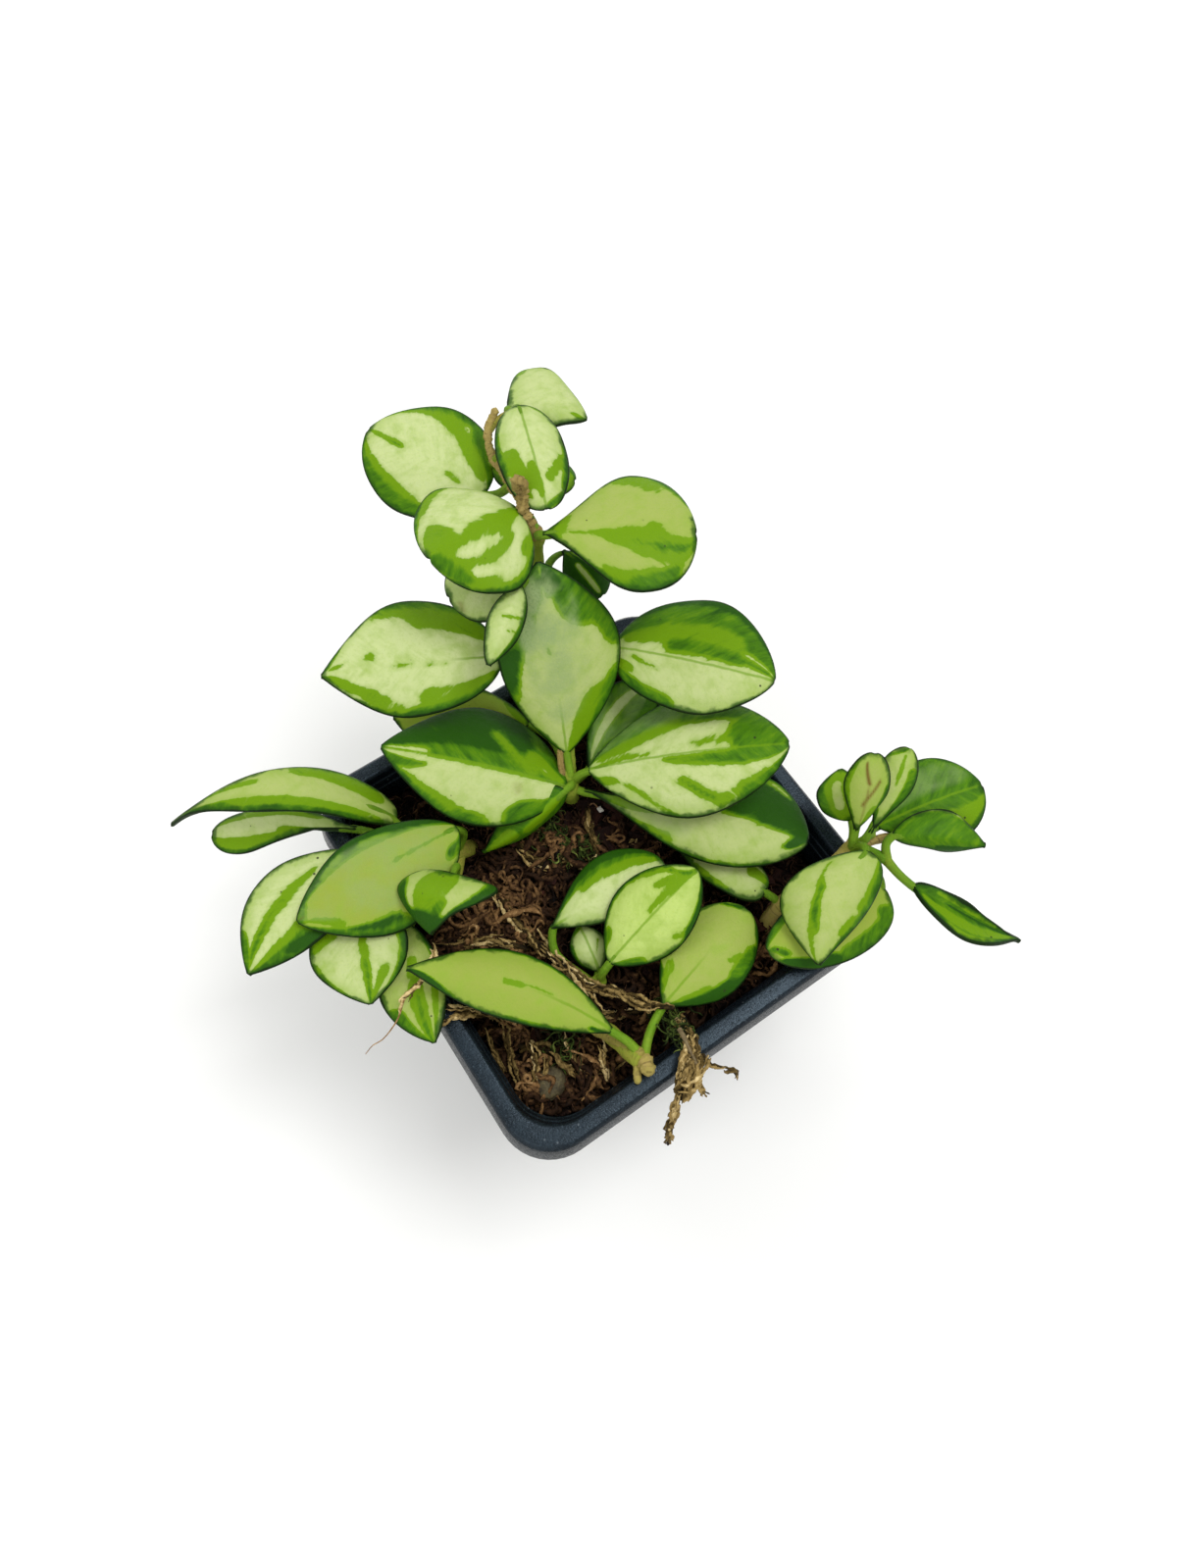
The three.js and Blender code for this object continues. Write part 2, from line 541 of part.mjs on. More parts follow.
const hoya = new THREE.Group();
hoya.add(named("pot", makePot(), BLACK_PLASTIC));
hoya.add(named("growing_medium", makeMedium(stemCutters()), BROWN_MEDIUM));
hoya.add(named("pebble", makePebble(), STONE_GREY));
hoya.add(named("tall_vine", makeShoot("tall"), LEAF_GREEN));
hoya.add(named("left_vine", makeShoot("left"), LEAF_GREEN));
hoya.add(named("front_shoot", makeShoot("front"), LEAF_GREEN));
hoya.add(named("middle_shoot", makeShoot("middle"), LEAF_GREEN));
hoya.add(named("right_vine", makeShoot("right"), LEAF_GREEN));

export default hoya;
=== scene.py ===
"""Looks of a small variegated hoya that grows in a square nursery pot.

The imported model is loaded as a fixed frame. Each piece made here stands for one of its nodes, or
rests on one. Sizes are millimetres in the frame's own axes, and meshes are written in metres.
"""

import logging
import math
from dataclasses import dataclass, field
from enum import Enum

import bpy
import numpy as np
from mathutils import Matrix, Vector


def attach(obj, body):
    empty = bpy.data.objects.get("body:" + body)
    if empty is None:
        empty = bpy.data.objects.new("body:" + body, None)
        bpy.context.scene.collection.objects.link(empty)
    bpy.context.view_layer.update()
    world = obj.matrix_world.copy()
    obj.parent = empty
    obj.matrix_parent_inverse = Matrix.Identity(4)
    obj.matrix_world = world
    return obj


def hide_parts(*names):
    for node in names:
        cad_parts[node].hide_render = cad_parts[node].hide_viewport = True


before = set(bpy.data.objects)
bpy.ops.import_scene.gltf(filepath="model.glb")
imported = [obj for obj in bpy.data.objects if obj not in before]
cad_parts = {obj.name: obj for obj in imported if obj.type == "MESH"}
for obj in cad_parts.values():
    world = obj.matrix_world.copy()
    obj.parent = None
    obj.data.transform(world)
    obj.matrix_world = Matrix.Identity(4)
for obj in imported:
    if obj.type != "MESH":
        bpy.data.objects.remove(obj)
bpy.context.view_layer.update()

LOG = logging.getLogger("hoya")
MM = 0.001
BODY = "root"

# A whole turn in radians, near enough for random headings
FULL_TURN = 6.3


class Slot(Enum):
    """Material slots of the record."""

    POT = "pot_plastic"
    MEDIUM = "growing_medium"
    STONE = "stone"
    FOLIAGE = "foliage"


class Shade(Enum):
    """How green a place on a leaf is, from none to the darkest."""

    CREAM = 0.0
    LIME = 0.42
    GREEN = 0.72
    DARK = 1.0


CREAM, LIME, GREEN, DARK = Shade


# Small helpers


def smooth(low: float, high: float, value: np.ndarray) -> np.ndarray:
    """Returns 0 below low, 1 above high and a smooth rise between them."""
    share = np.clip((value - low) / (high - low), 0.0, 1.0)
    return share * share * (3.0 - 2.0 * share)


def colour(code: str) -> tuple[float, float, float, float]:
    """Turns a display colour into the linear one that a shader takes.

    Args:
        code: six hexadecimal digits.

    Returns:
        Red, green, blue and alpha.
    """
    parts = [int(code[i:i + 2], 16) / 255.0 for i in (0, 2, 4)]
    linear = [p / 12.92 if p <= 0.04045 else ((p + 0.055) / 1.055) ** 2.4 for p in parts]
    return (*linear, 1.0)


def curve_through(knots: list[tuple[float, float, float]], spacing: float) -> np.ndarray:
    """Follows a centripetal curve through the knots.

    Args:
        knots: places that the curve passes.
        spacing: distance between the returned points.

    Returns:
        Points along the curve, as rows.
    """
    knots = np.array(knots, float)
    ends = [2 * knots[0] - knots[1], *knots, 2 * knots[-1] - knots[-2]]
    rows = []
    for a, b, c, d in zip(ends, ends[1:], ends[2:], ends[3:]):
        t1 = math.sqrt(np.linalg.norm(b - a))
        t2 = t1 + math.sqrt(np.linalg.norm(c - b))
        t3 = t2 + math.sqrt(np.linalg.norm(d - c))
        steps = max(2, round(np.linalg.norm(c - b) / spacing))
        t = np.linspace(t1, t2, steps, endpoint=False)[:, None]
        ab = a + (b - a) * t / t1
        bc = b + (c - b) * (t - t1) / (t2 - t1)
        cd = c + (d - c) * (t - t2) / (t3 - t2)
        abc = ab + (bc - ab) * t / t2
        bcd = bc + (cd - bc) * (t - t1) / (t3 - t1)
        rows.append(abc + (bcd - abc) * (t - t1) / (t2 - t1))
    return np.vstack([*rows, knots[-1:]])


def deselect_all() -> None:
    """Leaves nothing selected, so that an operator acts on the new primitive alone."""
    bpy.ops.object.select_all(action="DESELECT")


def fresh(name: str) -> bpy.types.Object:
    """Names the primitive that was just added, and its mesh."""
    piece = bpy.context.view_layer.objects.active
    piece.name = name
    piece.data.name = name
    return piece


def add_object(name: str, data: bpy.types.ID) -> bpy.types.Object:
    """Puts a new object with this data into the scene."""
    made = bpy.data.objects.new(name, data)
    bpy.context.scene.collection.objects.link(made)
    return made


def mesh_piece(name: str, points: np.ndarray, faces: list[tuple[int, ...]]) -> bpy.types.Object:
    """Makes a piece of points in millimetres.

    Args:
        name: the piece's name.
        points: rows of x, y and z.
        faces: corners of each face, outward by the right-hand rule.

    Returns:
        The new object, smooth shaded, at the origin.
    """
    mesh = bpy.data.meshes.new(name)
    mesh.from_pydata((np.asarray(points) * MM).tolist(), [], faces)
    mesh.shade_smooth()
    return add_object(name, mesh)


def apply_modifiers(piece: bpy.types.Object) -> None:
    """Applies every modifier of the piece, in order."""
    deselect_all()
    piece.select_set(True)
    bpy.context.view_layer.objects.active = piece
    for modifier in list(piece.modifiers):
        bpy.ops.object.modifier_apply(modifier=modifier.name)


def read_points(piece: bpy.types.Object) -> np.ndarray:
    """Returns the places of the piece's vertices as rows, in the units of its mesh."""
    rows = np.empty(len(piece.data.vertices) * 3)
    piece.data.vertices.foreach_get("co", rows)
    return rows.reshape(-1, 3)


def write_points(piece: bpy.types.Object, points: np.ndarray) -> None:
    """Moves the piece's vertices to points in millimetres."""
    piece.data.vertices.foreach_set("co", (points * MM).ravel())


def pull(rise: float, height: float, share: float) -> None:
    """Extrudes what is selected in edit mode, and scales the new part about the upright axis.

    Args:
        rise: how far up it goes, in millimetres.
        height: where it ends.
        share: how much wider it becomes.
    """
    move = (0.0, 0.0, rise * MM)
    bpy.ops.mesh.extrude_region_move(TRANSFORM_OT_translate={"value": move})
    bpy.ops.transform.resize(value=(share, share, 1.0), center_override=(0.0, 0.0, height * MM))


def write_vectors(piece: bpy.types.Object, name: str, rows: np.ndarray) -> None:
    """Stores a vector for each vertex of the piece, for its material to read."""
    layer = piece.data.attributes.new(name, "FLOAT_VECTOR", "POINT")
    layer.data.foreach_set("vector", np.asarray(rows, np.float32).ravel())


def write_tones(piece: bpy.types.Object, tones: np.ndarray) -> None:
    """Stores one number for each vertex, such as how light or how old the piece is there."""
    write_vectors(piece, "trait", np.column_stack([tones, np.zeros((len(tones), 2))]))


def finish_piece(piece: bpy.types.Object, material: bpy.types.Material) -> None:
    """Dresses a piece and lets it ride on the body.

    Args:
        piece: the finished object.
        material: what it is dressed in.
    """
    if not piece.data.materials:
        piece.data.materials.append(material)
    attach(piece, BODY)
    LOG.info("%s: %d faces", piece.name, len(piece.data.polygons))


# Materials


class Sketch:
    """A material that is being put together, with short calls for its nodes."""

    def __init__(self, name: str) -> None:
        """Starts from a plain principled shader."""
        self.material = bpy.data.materials.new(name)
        self.material.use_nodes = True
        self.tree = self.material.node_tree
        self.shader = self.tree.nodes["Principled BSDF"]

    def feed(self, socket: bpy.types.NodeSocket, value: object) -> None:
        """Links a socket to another, or sets its value. Text is a display colour."""
        if isinstance(value, bpy.types.NodeSocket):
            self.tree.links.new(value, socket)
        else:
            socket.default_value = colour(value) if isinstance(value, str) else value

    def node(self, kind: str, inputs: dict | None = None, **settings: object) -> bpy.types.Node:
        """Adds a node.

        Args:
            kind: the node's type without its "ShaderNode" start.
            inputs: values or sockets for its inputs.
            settings: its properties.

        Returns:
            The new node.
        """
        made = self.tree.nodes.new("ShaderNode" + kind)
        for key, value in settings.items():
            setattr(made, key, value)
        for key, value in (inputs or {}).items():
            self.feed(made.inputs[key], value)
        return made

    def math(self, operation: str, *values: object) -> bpy.types.NodeSocket:
        """Returns the result of a sum on numbers or sockets."""
        return self.node("Math", dict(enumerate(values)), operation=operation).outputs[0]

    def times(self, a: object, b: object) -> bpy.types.NodeSocket:
        """Returns the product of two numbers or sockets."""
        return self.math("MULTIPLY", a, b)

    def vector(self, x: object, y: object, z: object) -> bpy.types.NodeSocket:
        """Returns a vector of three numbers or sockets."""
        return self.node("CombineXYZ", {0: x, 1: y, 2: z}).outputs[0]

    def parts(self, attribute: str) -> tuple[bpy.types.NodeSocket, ...]:
        """Returns the three numbers of a vector that the mesh stores."""
        read = self.node("Attribute", attribute_name=attribute)
        split = self.node("SeparateXYZ", {0: read.outputs["Vector"]})
        return tuple(split.outputs)

    def place(self) -> bpy.types.NodeSocket:
        """Returns object coordinates in millimetres."""
        metres = self.node("TexCoord").outputs["Object"]
        scaled = self.node("VectorMath", {0: metres, 1: (1000.0,) * 3}, operation="MULTIPLY")
        return scaled.outputs[0]

    def noise(self, at: bpy.types.NodeSocket, scale: float, detail: float = 3.0,
              rough: float = 0.55) -> bpy.types.NodeSocket:
        """Returns noise around a half, at so many cells for each unit of the coordinates."""
        made = self.node("TexNoise", {"Vector": at, "Scale": scale, "Detail": detail, "Roughness": rough})
        return made.outputs["Fac"]

    def drift(self, at: bpy.types.NodeSocket, scale: float, detail: float,
              rough: float) -> bpy.types.NodeSocket:
        """Returns noise around 0."""
        return self.math("SUBTRACT", self.noise(at, scale, detail, rough), 0.5)

    def spots(self, at: bpy.types.NodeSocket, scale: float, size: float) -> bpy.types.NodeSocket:
        """Returns 1 inside scattered round spots and 0 outside them."""
        cells = self.node("TexVoronoi", {"Vector": at, "Scale": scale, "Randomness": 1.0})
        return self.step(cells.outputs["Distance"], size, size * 0.6)

    def step(self, value: object, low: float, high: float, a: float = 0.0,
             b: float = 1.0) -> bpy.types.NodeSocket:
        """Returns a smooth change from a at low to b at high."""
        inputs = {"Value": value, "From Min": low, "From Max": high, "To Min": a, "To Max": b}
        return self.node("MapRange", inputs, interpolation_type="SMOOTHSTEP").outputs[0]

    def ramp(self, value: object, stops: list[tuple[float, str]]) -> bpy.types.NodeSocket:
        """Returns the colour at a value between stops, each a place and a display colour."""
        made = self.node("ValToRGB", {0: value})
        line = made.color_ramp
        while len(line.elements) < len(stops):
            line.elements.new(0.5)
        for element, (at, code) in zip(line.elements, stops):
            element.position = at
        for element, (at, code) in zip(line.elements, stops):
            element.color = colour(code)
        return made.outputs[0]

    def blend(self, share: object, a: object, b: object) -> bpy.types.NodeSocket:
        """Returns colour a changed to b by a share."""
        return self.node("Mix", {0: share, 6: a, 7: b}, data_type="RGBA").outputs[2]

    def bump(self, height: bpy.types.NodeSocket, depth: float) -> None:
        """Gives the shader a relief of so many metres."""
        made = self.node("Bump", {"Height": height, "Strength": 1.0, "Distance": depth})
        self.feed(self.shader.inputs["Normal"], made.outputs[0])

    def set(self, **sockets: object) -> None:
        """Sets the shader's own inputs, named with underscores for spaces."""
        for key, value in sockets.items():
            self.feed(self.shader.inputs[key.replace("_", " ")], value)


@dataclass(frozen=True)
class LeafFinish:
    """Waxy leaf skin, marked in cream, lime and green by what the mesh stores for each vertex."""

    name: str
    pale: str = "BECB8C"
    olive: str = "91A23C"
    sunny: str = "B4CA6A"
    tinged: str = "88A834"
    lime: str = "6A9208"
    green: str = "487808"
    dark: str = "245008"
    margin: str = "0E2006"
    speck: str = "2A2A1A"
    scar: str = "66481A"
    bloom: str = "8DA26A"
    shine: float = 0.45
    contrast: float = 1.0

    def _cover(self, sketch: Sketch, green: object, along: object, across: object,
               seed: object) -> bpy.types.NodeSocket:
        """Roughens the painted green so that its edges tear along the side veins."""
        lead = sketch.math("SUBTRACT", along, sketch.times(sketch.math("ABSOLUTE", across), 0.9))
        broad = sketch.vector(sketch.times(lead, 0.42), sketch.times(across, 0.16), seed)
        fine = sketch.vector(lead, sketch.times(across, 0.6), seed)
        large = sketch.drift(broad, 1.0, 4.0, 0.6)
        small = sketch.drift(fine, 1.0, 3.0, 0.6)
        torn = sketch.math("MULTIPLY_ADD", large, 0.66 * self.contrast, green)
        return sketch.math("MULTIPLY_ADD", small, 0.22 * self.contrast, torn)

    def _flesh(self, sketch: Sketch, cover: object, tone: object, rim: object,
               here: object) -> bpy.types.NodeSocket:
        """Returns the marbled colour of the blade without its veins, haze and edge."""
        cream = sketch.blend(sketch.step(tone, 0.0, 1.0), self.pale, self.olive)
        cream = sketch.blend(sketch.step(tone, 0.0, -1.0), cream, self.sunny)
        streak = sketch.step(sketch.noise(here, 0.28, 3.0, 0.5), 0.45, 0.8, 0.0, 0.5)
        mottle = sketch.step(sketch.noise(here, 1.5, 3.0, 0.6), 0.5, 0.75, 0.0, 0.25)
        outer = sketch.step(rim, 5.0, 0.3, 0.0, 0.5)
        halo = sketch.step(cover, -0.05, 0.24, 0.0, 0.4)
        for share in (streak, mottle, outer, halo):
            cream = sketch.blend(share, cream, self.tinged)
        stops = [(0.22, self.lime), (0.5, self.lime), (0.7, self.green), (0.9, self.dark)]
        return sketch.blend(sketch.step(cover, 0.19, 0.31), cream, sketch.ramp(cover, stops))

    def build(self) -> bpy.types.Material:
        """Returns the finished material."""
        sketch = Sketch(self.name)
        along, across, seed = sketch.parts("place")
        green, rim, rib = sketch.parts("paint")
        tone, frost, scar = sketch.parts("trait")
        here = sketch.vector(along, across, seed)

        cover = self._cover(sketch, green, along, across, seed)
        skin = self._flesh(sketch, cover, tone, rim, here)

        thread = sketch.math("MULTIPLY_ADD", sketch.noise(here, 0.35), 0.5, -0.25)
        beside = sketch.math("ABSOLUTE", sketch.math("ADD", across, thread))
        line = sketch.times(sketch.step(beside, 0.42, 0.12), sketch.step(rib, 0.0, 0.6))
        skin = sketch.blend(sketch.times(line, 0.7), skin, self.lime)

        haze = sketch.step(sketch.noise(here, 0.13, 3.0, 0.5), 0.3, 0.68)
        grain = sketch.noise(here, 2.2, 4.0, 0.6)
        haze = sketch.times(haze, sketch.step(grain, 0.2, 0.6, 0.65, 1.0))
        skin = sketch.blend(sketch.times(haze, frost), skin, self.bloom)

        skin = sketch.blend(scar, skin, self.scar)
        sparse = sketch.step(sketch.noise(here, 0.07, 1.0), 0.45, 0.52)
        dots = sketch.times(sketch.spots(here, 0.2, 0.07), sparse)
        skin = sketch.blend(sketch.times(dots, 0.9), skin, self.speck)

        wander = sketch.math("MULTIPLY_ADD", sketch.noise(here, 0.32, 3.0), 3.0, -0.75)
        tinge = sketch.step(sketch.math("SUBTRACT", rim, wander), 0.9, -0.1, 0.0, 0.85)
        skin = sketch.blend(tinge, skin, self.dark)
        edge = sketch.step(sketch.math("MULTIPLY_ADD", wander, -0.3, rim), 0.5, 0.1, 0.0, 0.92)
        skin = sketch.blend(edge, skin, self.margin)

        sketch.set(Base_Color=skin, Specular_IOR_Level=0.09)
        sketch.set(Subsurface_Weight=0.08, Subsurface_Radius=(0.6, 0.8, 0.15), Subsurface_Scale=0.001)
        gloss = sketch.step(sketch.noise(here, 0.9), 0.3, 0.7, self.shine - 0.06, self.shine + 0.1)
        sketch.set(Roughness=gloss)
        swell = sketch.math("MULTIPLY_ADD", sketch.noise(here, 0.22, 2.0), 2.2, grain)
        sketch.bump(swell, 0.00012)
        return sketch.material


@dataclass(frozen=True)
class StemFinish:
    """Young green stalk at tone 0, through yellow and tan, to dry brown bark at tone 1."""

    name: str = "stem_skin"

    def build(self) -> bpy.types.Material:
        """Returns the finished material."""
        sketch = Sketch(self.name)
        along, around, seed = sketch.parts("place")
        tone, _, _ = sketch.parts("trait")
        here = sketch.vector(along, around, seed)
        streak = sketch.vector(sketch.times(along, 0.25), around, seed)
        value = sketch.math("MULTIPLY_ADD", sketch.drift(streak, 1.6, 4.0, 0.6), 0.35, tone)
        stops = [(0.0, "5A8A14"), (0.28, "84A12A"), (0.5, "9A953C"), (0.7, "B29C5C"), (0.85, "86703C"),
                 (1.0, "46341A")]
        skin = sketch.ramp(value, stops)
        rings = sketch.vector(along, sketch.times(around, 0.3), seed)
        crack = sketch.step(sketch.noise(rings, 2.4), 0.56, 0.66)
        scaled = sketch.times(crack, sketch.times(tone, 0.75))
        skin = sketch.blend(scaled, skin, "3E2A18")
        sketch.set(Base_Color=skin, Specular_IOR_Level=0.15)
        sketch.set(Roughness=sketch.step(tone, 0.0, 1.0, 0.42, 0.8))
        sketch.bump(sketch.noise(here, 2.4, 5.0, 0.7), 0.0004)
        return sketch.material


@dataclass(frozen=True)
class PlasticFinish:
    """Black injection-moulded plastic, satin, with fine grain, dust, and light flecks of wear and painted
    sheen on top faces.
    """

    name: str = "black_plastic"

    def build(self) -> bpy.types.Material:
        """Returns the finished material."""
        sketch = Sketch(self.name)
        here = sketch.place()
        upward, _, _ = sketch.parts("trait")
        grain = sketch.noise(here, 2.6, 4.0, 0.6)
        film = sketch.noise(here, 0.12, 4.0, 0.6)
        skin = sketch.blend(sketch.step(film, 0.35, 0.7), "0A0E12", "151D23")
        # Lighter flecks only on faces that look up: partly wear, partly painted sheen where light falls on
        # the rim's top.
        worn_sheen_fleck = sketch.step(sketch.noise(here, 1.6, 5.0, 0.7), 0.5, 0.7, 0.0, 0.5)
        skin = sketch.blend(sketch.times(worn_sheen_fleck, upward), skin, "39454E")
        sparse = sketch.step(sketch.noise(here, 0.09, 2.0), 0.5, 0.6)
        dust = sketch.times(sketch.spots(here, 0.42, 0.12), sparse)
        skin = sketch.blend(sketch.times(dust, 0.5), skin, "6C7478")
        sketch.set(Base_Color=skin, Specular_IOR_Level=sketch.step(upward, 0.3, 0.9, 0.08, 0.42))
        sketch.set(Roughness=sketch.step(grain, 0.35, 0.65, 0.16, 0.4), Specular_Tint="C4DDF0")
        pits = sketch.math("MULTIPLY_ADD", sketch.spots(here, 0.9, 0.3), 0.6, grain)
        sketch.bump(pits, 0.00008)
        return sketch.material


@dataclass(frozen=True)
class FibreFinish:
    """Dry plant fibre. The mesh stores how light each fibre is."""

    name: str
    deep: str
    middle: str
    light: str
    tip: str

    def build(self) -> bpy.types.Material:
        """Returns the finished material."""
        sketch = Sketch(self.name)
        tone, _, _ = sketch.parts("trait")
        here = sketch.place()
        value = sketch.math("MULTIPLY_ADD", sketch.drift(here, 0.9, 5.0, 0.7), 1.1, tone)
        stops = [(0.0, self.deep), (0.4, self.middle), (0.75, self.light), (1.0, self.tip)]
        skin = sketch.ramp(value, stops)
        sketch.set(Base_Color=skin, Roughness=sketch.step(tone, 0.0, 1.0, 0.85, 0.7))
        sketch.set(Specular_IOR_Level=0.15)
        sketch.bump(sketch.noise(here, 3.0, 2.0), 0.00015)
        return sketch.material


@dataclass(frozen=True)
class SoilFinish:
    """Damp dark medium of bark, coir and crumbs."""

    name: str = "soil"

    def build(self) -> bpy.types.Material:
        """Returns the finished material."""
        sketch = Sketch(self.name)
        here = sketch.place()
        crumb = sketch.noise(here, 0.75, 6.0, 0.7)
        skin = sketch.ramp(crumb, [(0.3, "060302"), (0.5, "140B07"), (0.66, "33201A"), (0.8, "644634")])
        patch = sketch.step(sketch.noise(here, 0.08, 3.0), 0.52, 0.66, 0.0, 0.35)
        skin = sketch.blend(patch, skin, "3E2318")
        sketch.set(Base_Color=skin, Specular_IOR_Level=0.12)
        sketch.set(Roughness=sketch.step(sketch.noise(here, 0.5), 0.35, 0.65, 0.5, 0.9))
        sketch.bump(crumb, 0.0012)
        return sketch.material


@dataclass(frozen=True)
class StoneFinish:
    """Dull olive-brown pebble with a little dirt on it."""

    name: str = "pebble_stone"

    def build(self) -> bpy.types.Material:
        """Returns the finished material."""
        sketch = Sketch(self.name)
        here = sketch.place()
        mottle = sketch.noise(here, 0.9, 5.0, 0.65)
        skin = sketch.ramp(mottle, [(0.25, "2A2415"), (0.5, "4C4328"), (0.75, "6E6440")])
        dirt = sketch.step(sketch.noise(here, 0.35, 4.0), 0.5, 0.62, 0.0, 0.6)
        skin = sketch.blend(dirt, skin, "33271A")
        sketch.set(Base_Color=skin, Roughness=0.72)
        sketch.bump(mottle, 0.0004)
        return sketch.material


@dataclass(frozen=True)
class FloorFinish:
    """Plain pale floor."""

    name: str = "pale_floor"
    tint: str = "F8F8F6"

    def build(self) -> bpy.types.Material:
        """Returns the finished material."""
        sketch = Sketch(self.name)
        sketch.set(Base_Color=self.tint, Roughness=0.9, Specular_IOR_Level=0.1)
        return sketch.material


# Lofted tubes


class Tubes:
    """Gathers lofted tubes and makes one closed mesh of them."""

    def __init__(self) -> None:
        """Starts with no tube."""
        self.points: list[np.ndarray] = []
        self.places: list[np.ndarray] = []
        self.tones: list[np.ndarray] = []
        self.faces: list[tuple[int, ...]] = []
        self.count = 0

    def add(self, path: np.ndarray, radii: np.ndarray, sides: int, tone: np.ndarray | float,
            seed: float, rough: float = 0.0) -> None:
        """Adds a tube along a path.

        Args:
            path: points of its middle line.
            radii: its radius at each point.
            sides: corners of its section.
            tone: how old or light it is, for the material.
            seed: shifts the material's pattern.
            rough: share of the radius by which single points stand out or lie deep.
        """
        rings = len(path)
        crumbs = 1 + rough * np.random.default_rng(int(seed * 10) + rings).uniform(-1, 1, (rings, sides, 1))
        heading = np.gradient(path, axis=0)
        heading /= np.linalg.norm(heading, axis=1, keepdims=True)
        side = np.cross(heading[0], (0.31, 0.17, 0.94) if abs(heading[0][2]) < 0.9 else (1.0, 0.2, 0.0))
        angles = np.arange(sides) * 2 * math.pi / sides
        length = np.concatenate([[0.0], np.cumsum(np.linalg.norm(np.diff(path, axis=0), axis=1))])
        for i in range(rings):
            side = side - heading[i] * side.dot(heading[i])
            side /= np.linalg.norm(side)
            other = np.cross(heading[i], side)
            round_ = np.outer(np.cos(angles), side) + np.outer(np.sin(angles), other)
            ring = path[i] + radii[i] * crumbs[i] * round_
            self.points.append(ring)
            turned = np.column_stack([np.full(sides, length[i]), np.sin(angles) * 2.0, np.full(sides, seed)])
            self.places.append(turned)
        bulge = np.array([[-0.5], [0.5]]) * radii[[0, -1], None]
        self.points.append(path[[0, -1]] + heading[[0, -1]] * bulge)
        self.places.append(np.array([[0.0, 0.0, seed], [length[-1], 0.0, seed]]))
        tones = np.broadcast_to(tone, rings)
        self.tones.append(np.concatenate([np.repeat(tones, sides), tones[[0, -1]]]))
        self._skin(rings, sides)

    def _skin(self, rings: int, sides: int) -> None:
        """Adds the faces of the tube whose points were just added."""
        base = self.count
        first = base + rings * sides
        last = first + 1
        end = base + (rings - 1) * sides
        for j in range(sides):
            k = (j + 1) % sides
            self.faces.append((first, base + k, base + j))
            self.faces.append((last, end + j, end + k))
            for i in range(rings - 1):
                low = base + i * sides
                self.faces.append((low + j, low + k, low + sides + k, low + sides + j))
        self.count = last + 1

    def build(self, name: str) -> bpy.types.Object:
        """Returns one piece of all the tubes."""
        piece = mesh_piece(name, np.vstack(self.points), self.faces)
        write_vectors(piece, "place", np.vstack(self.places))
        write_tones(piece, np.concatenate(self.tones))
        return piece


# Leaves


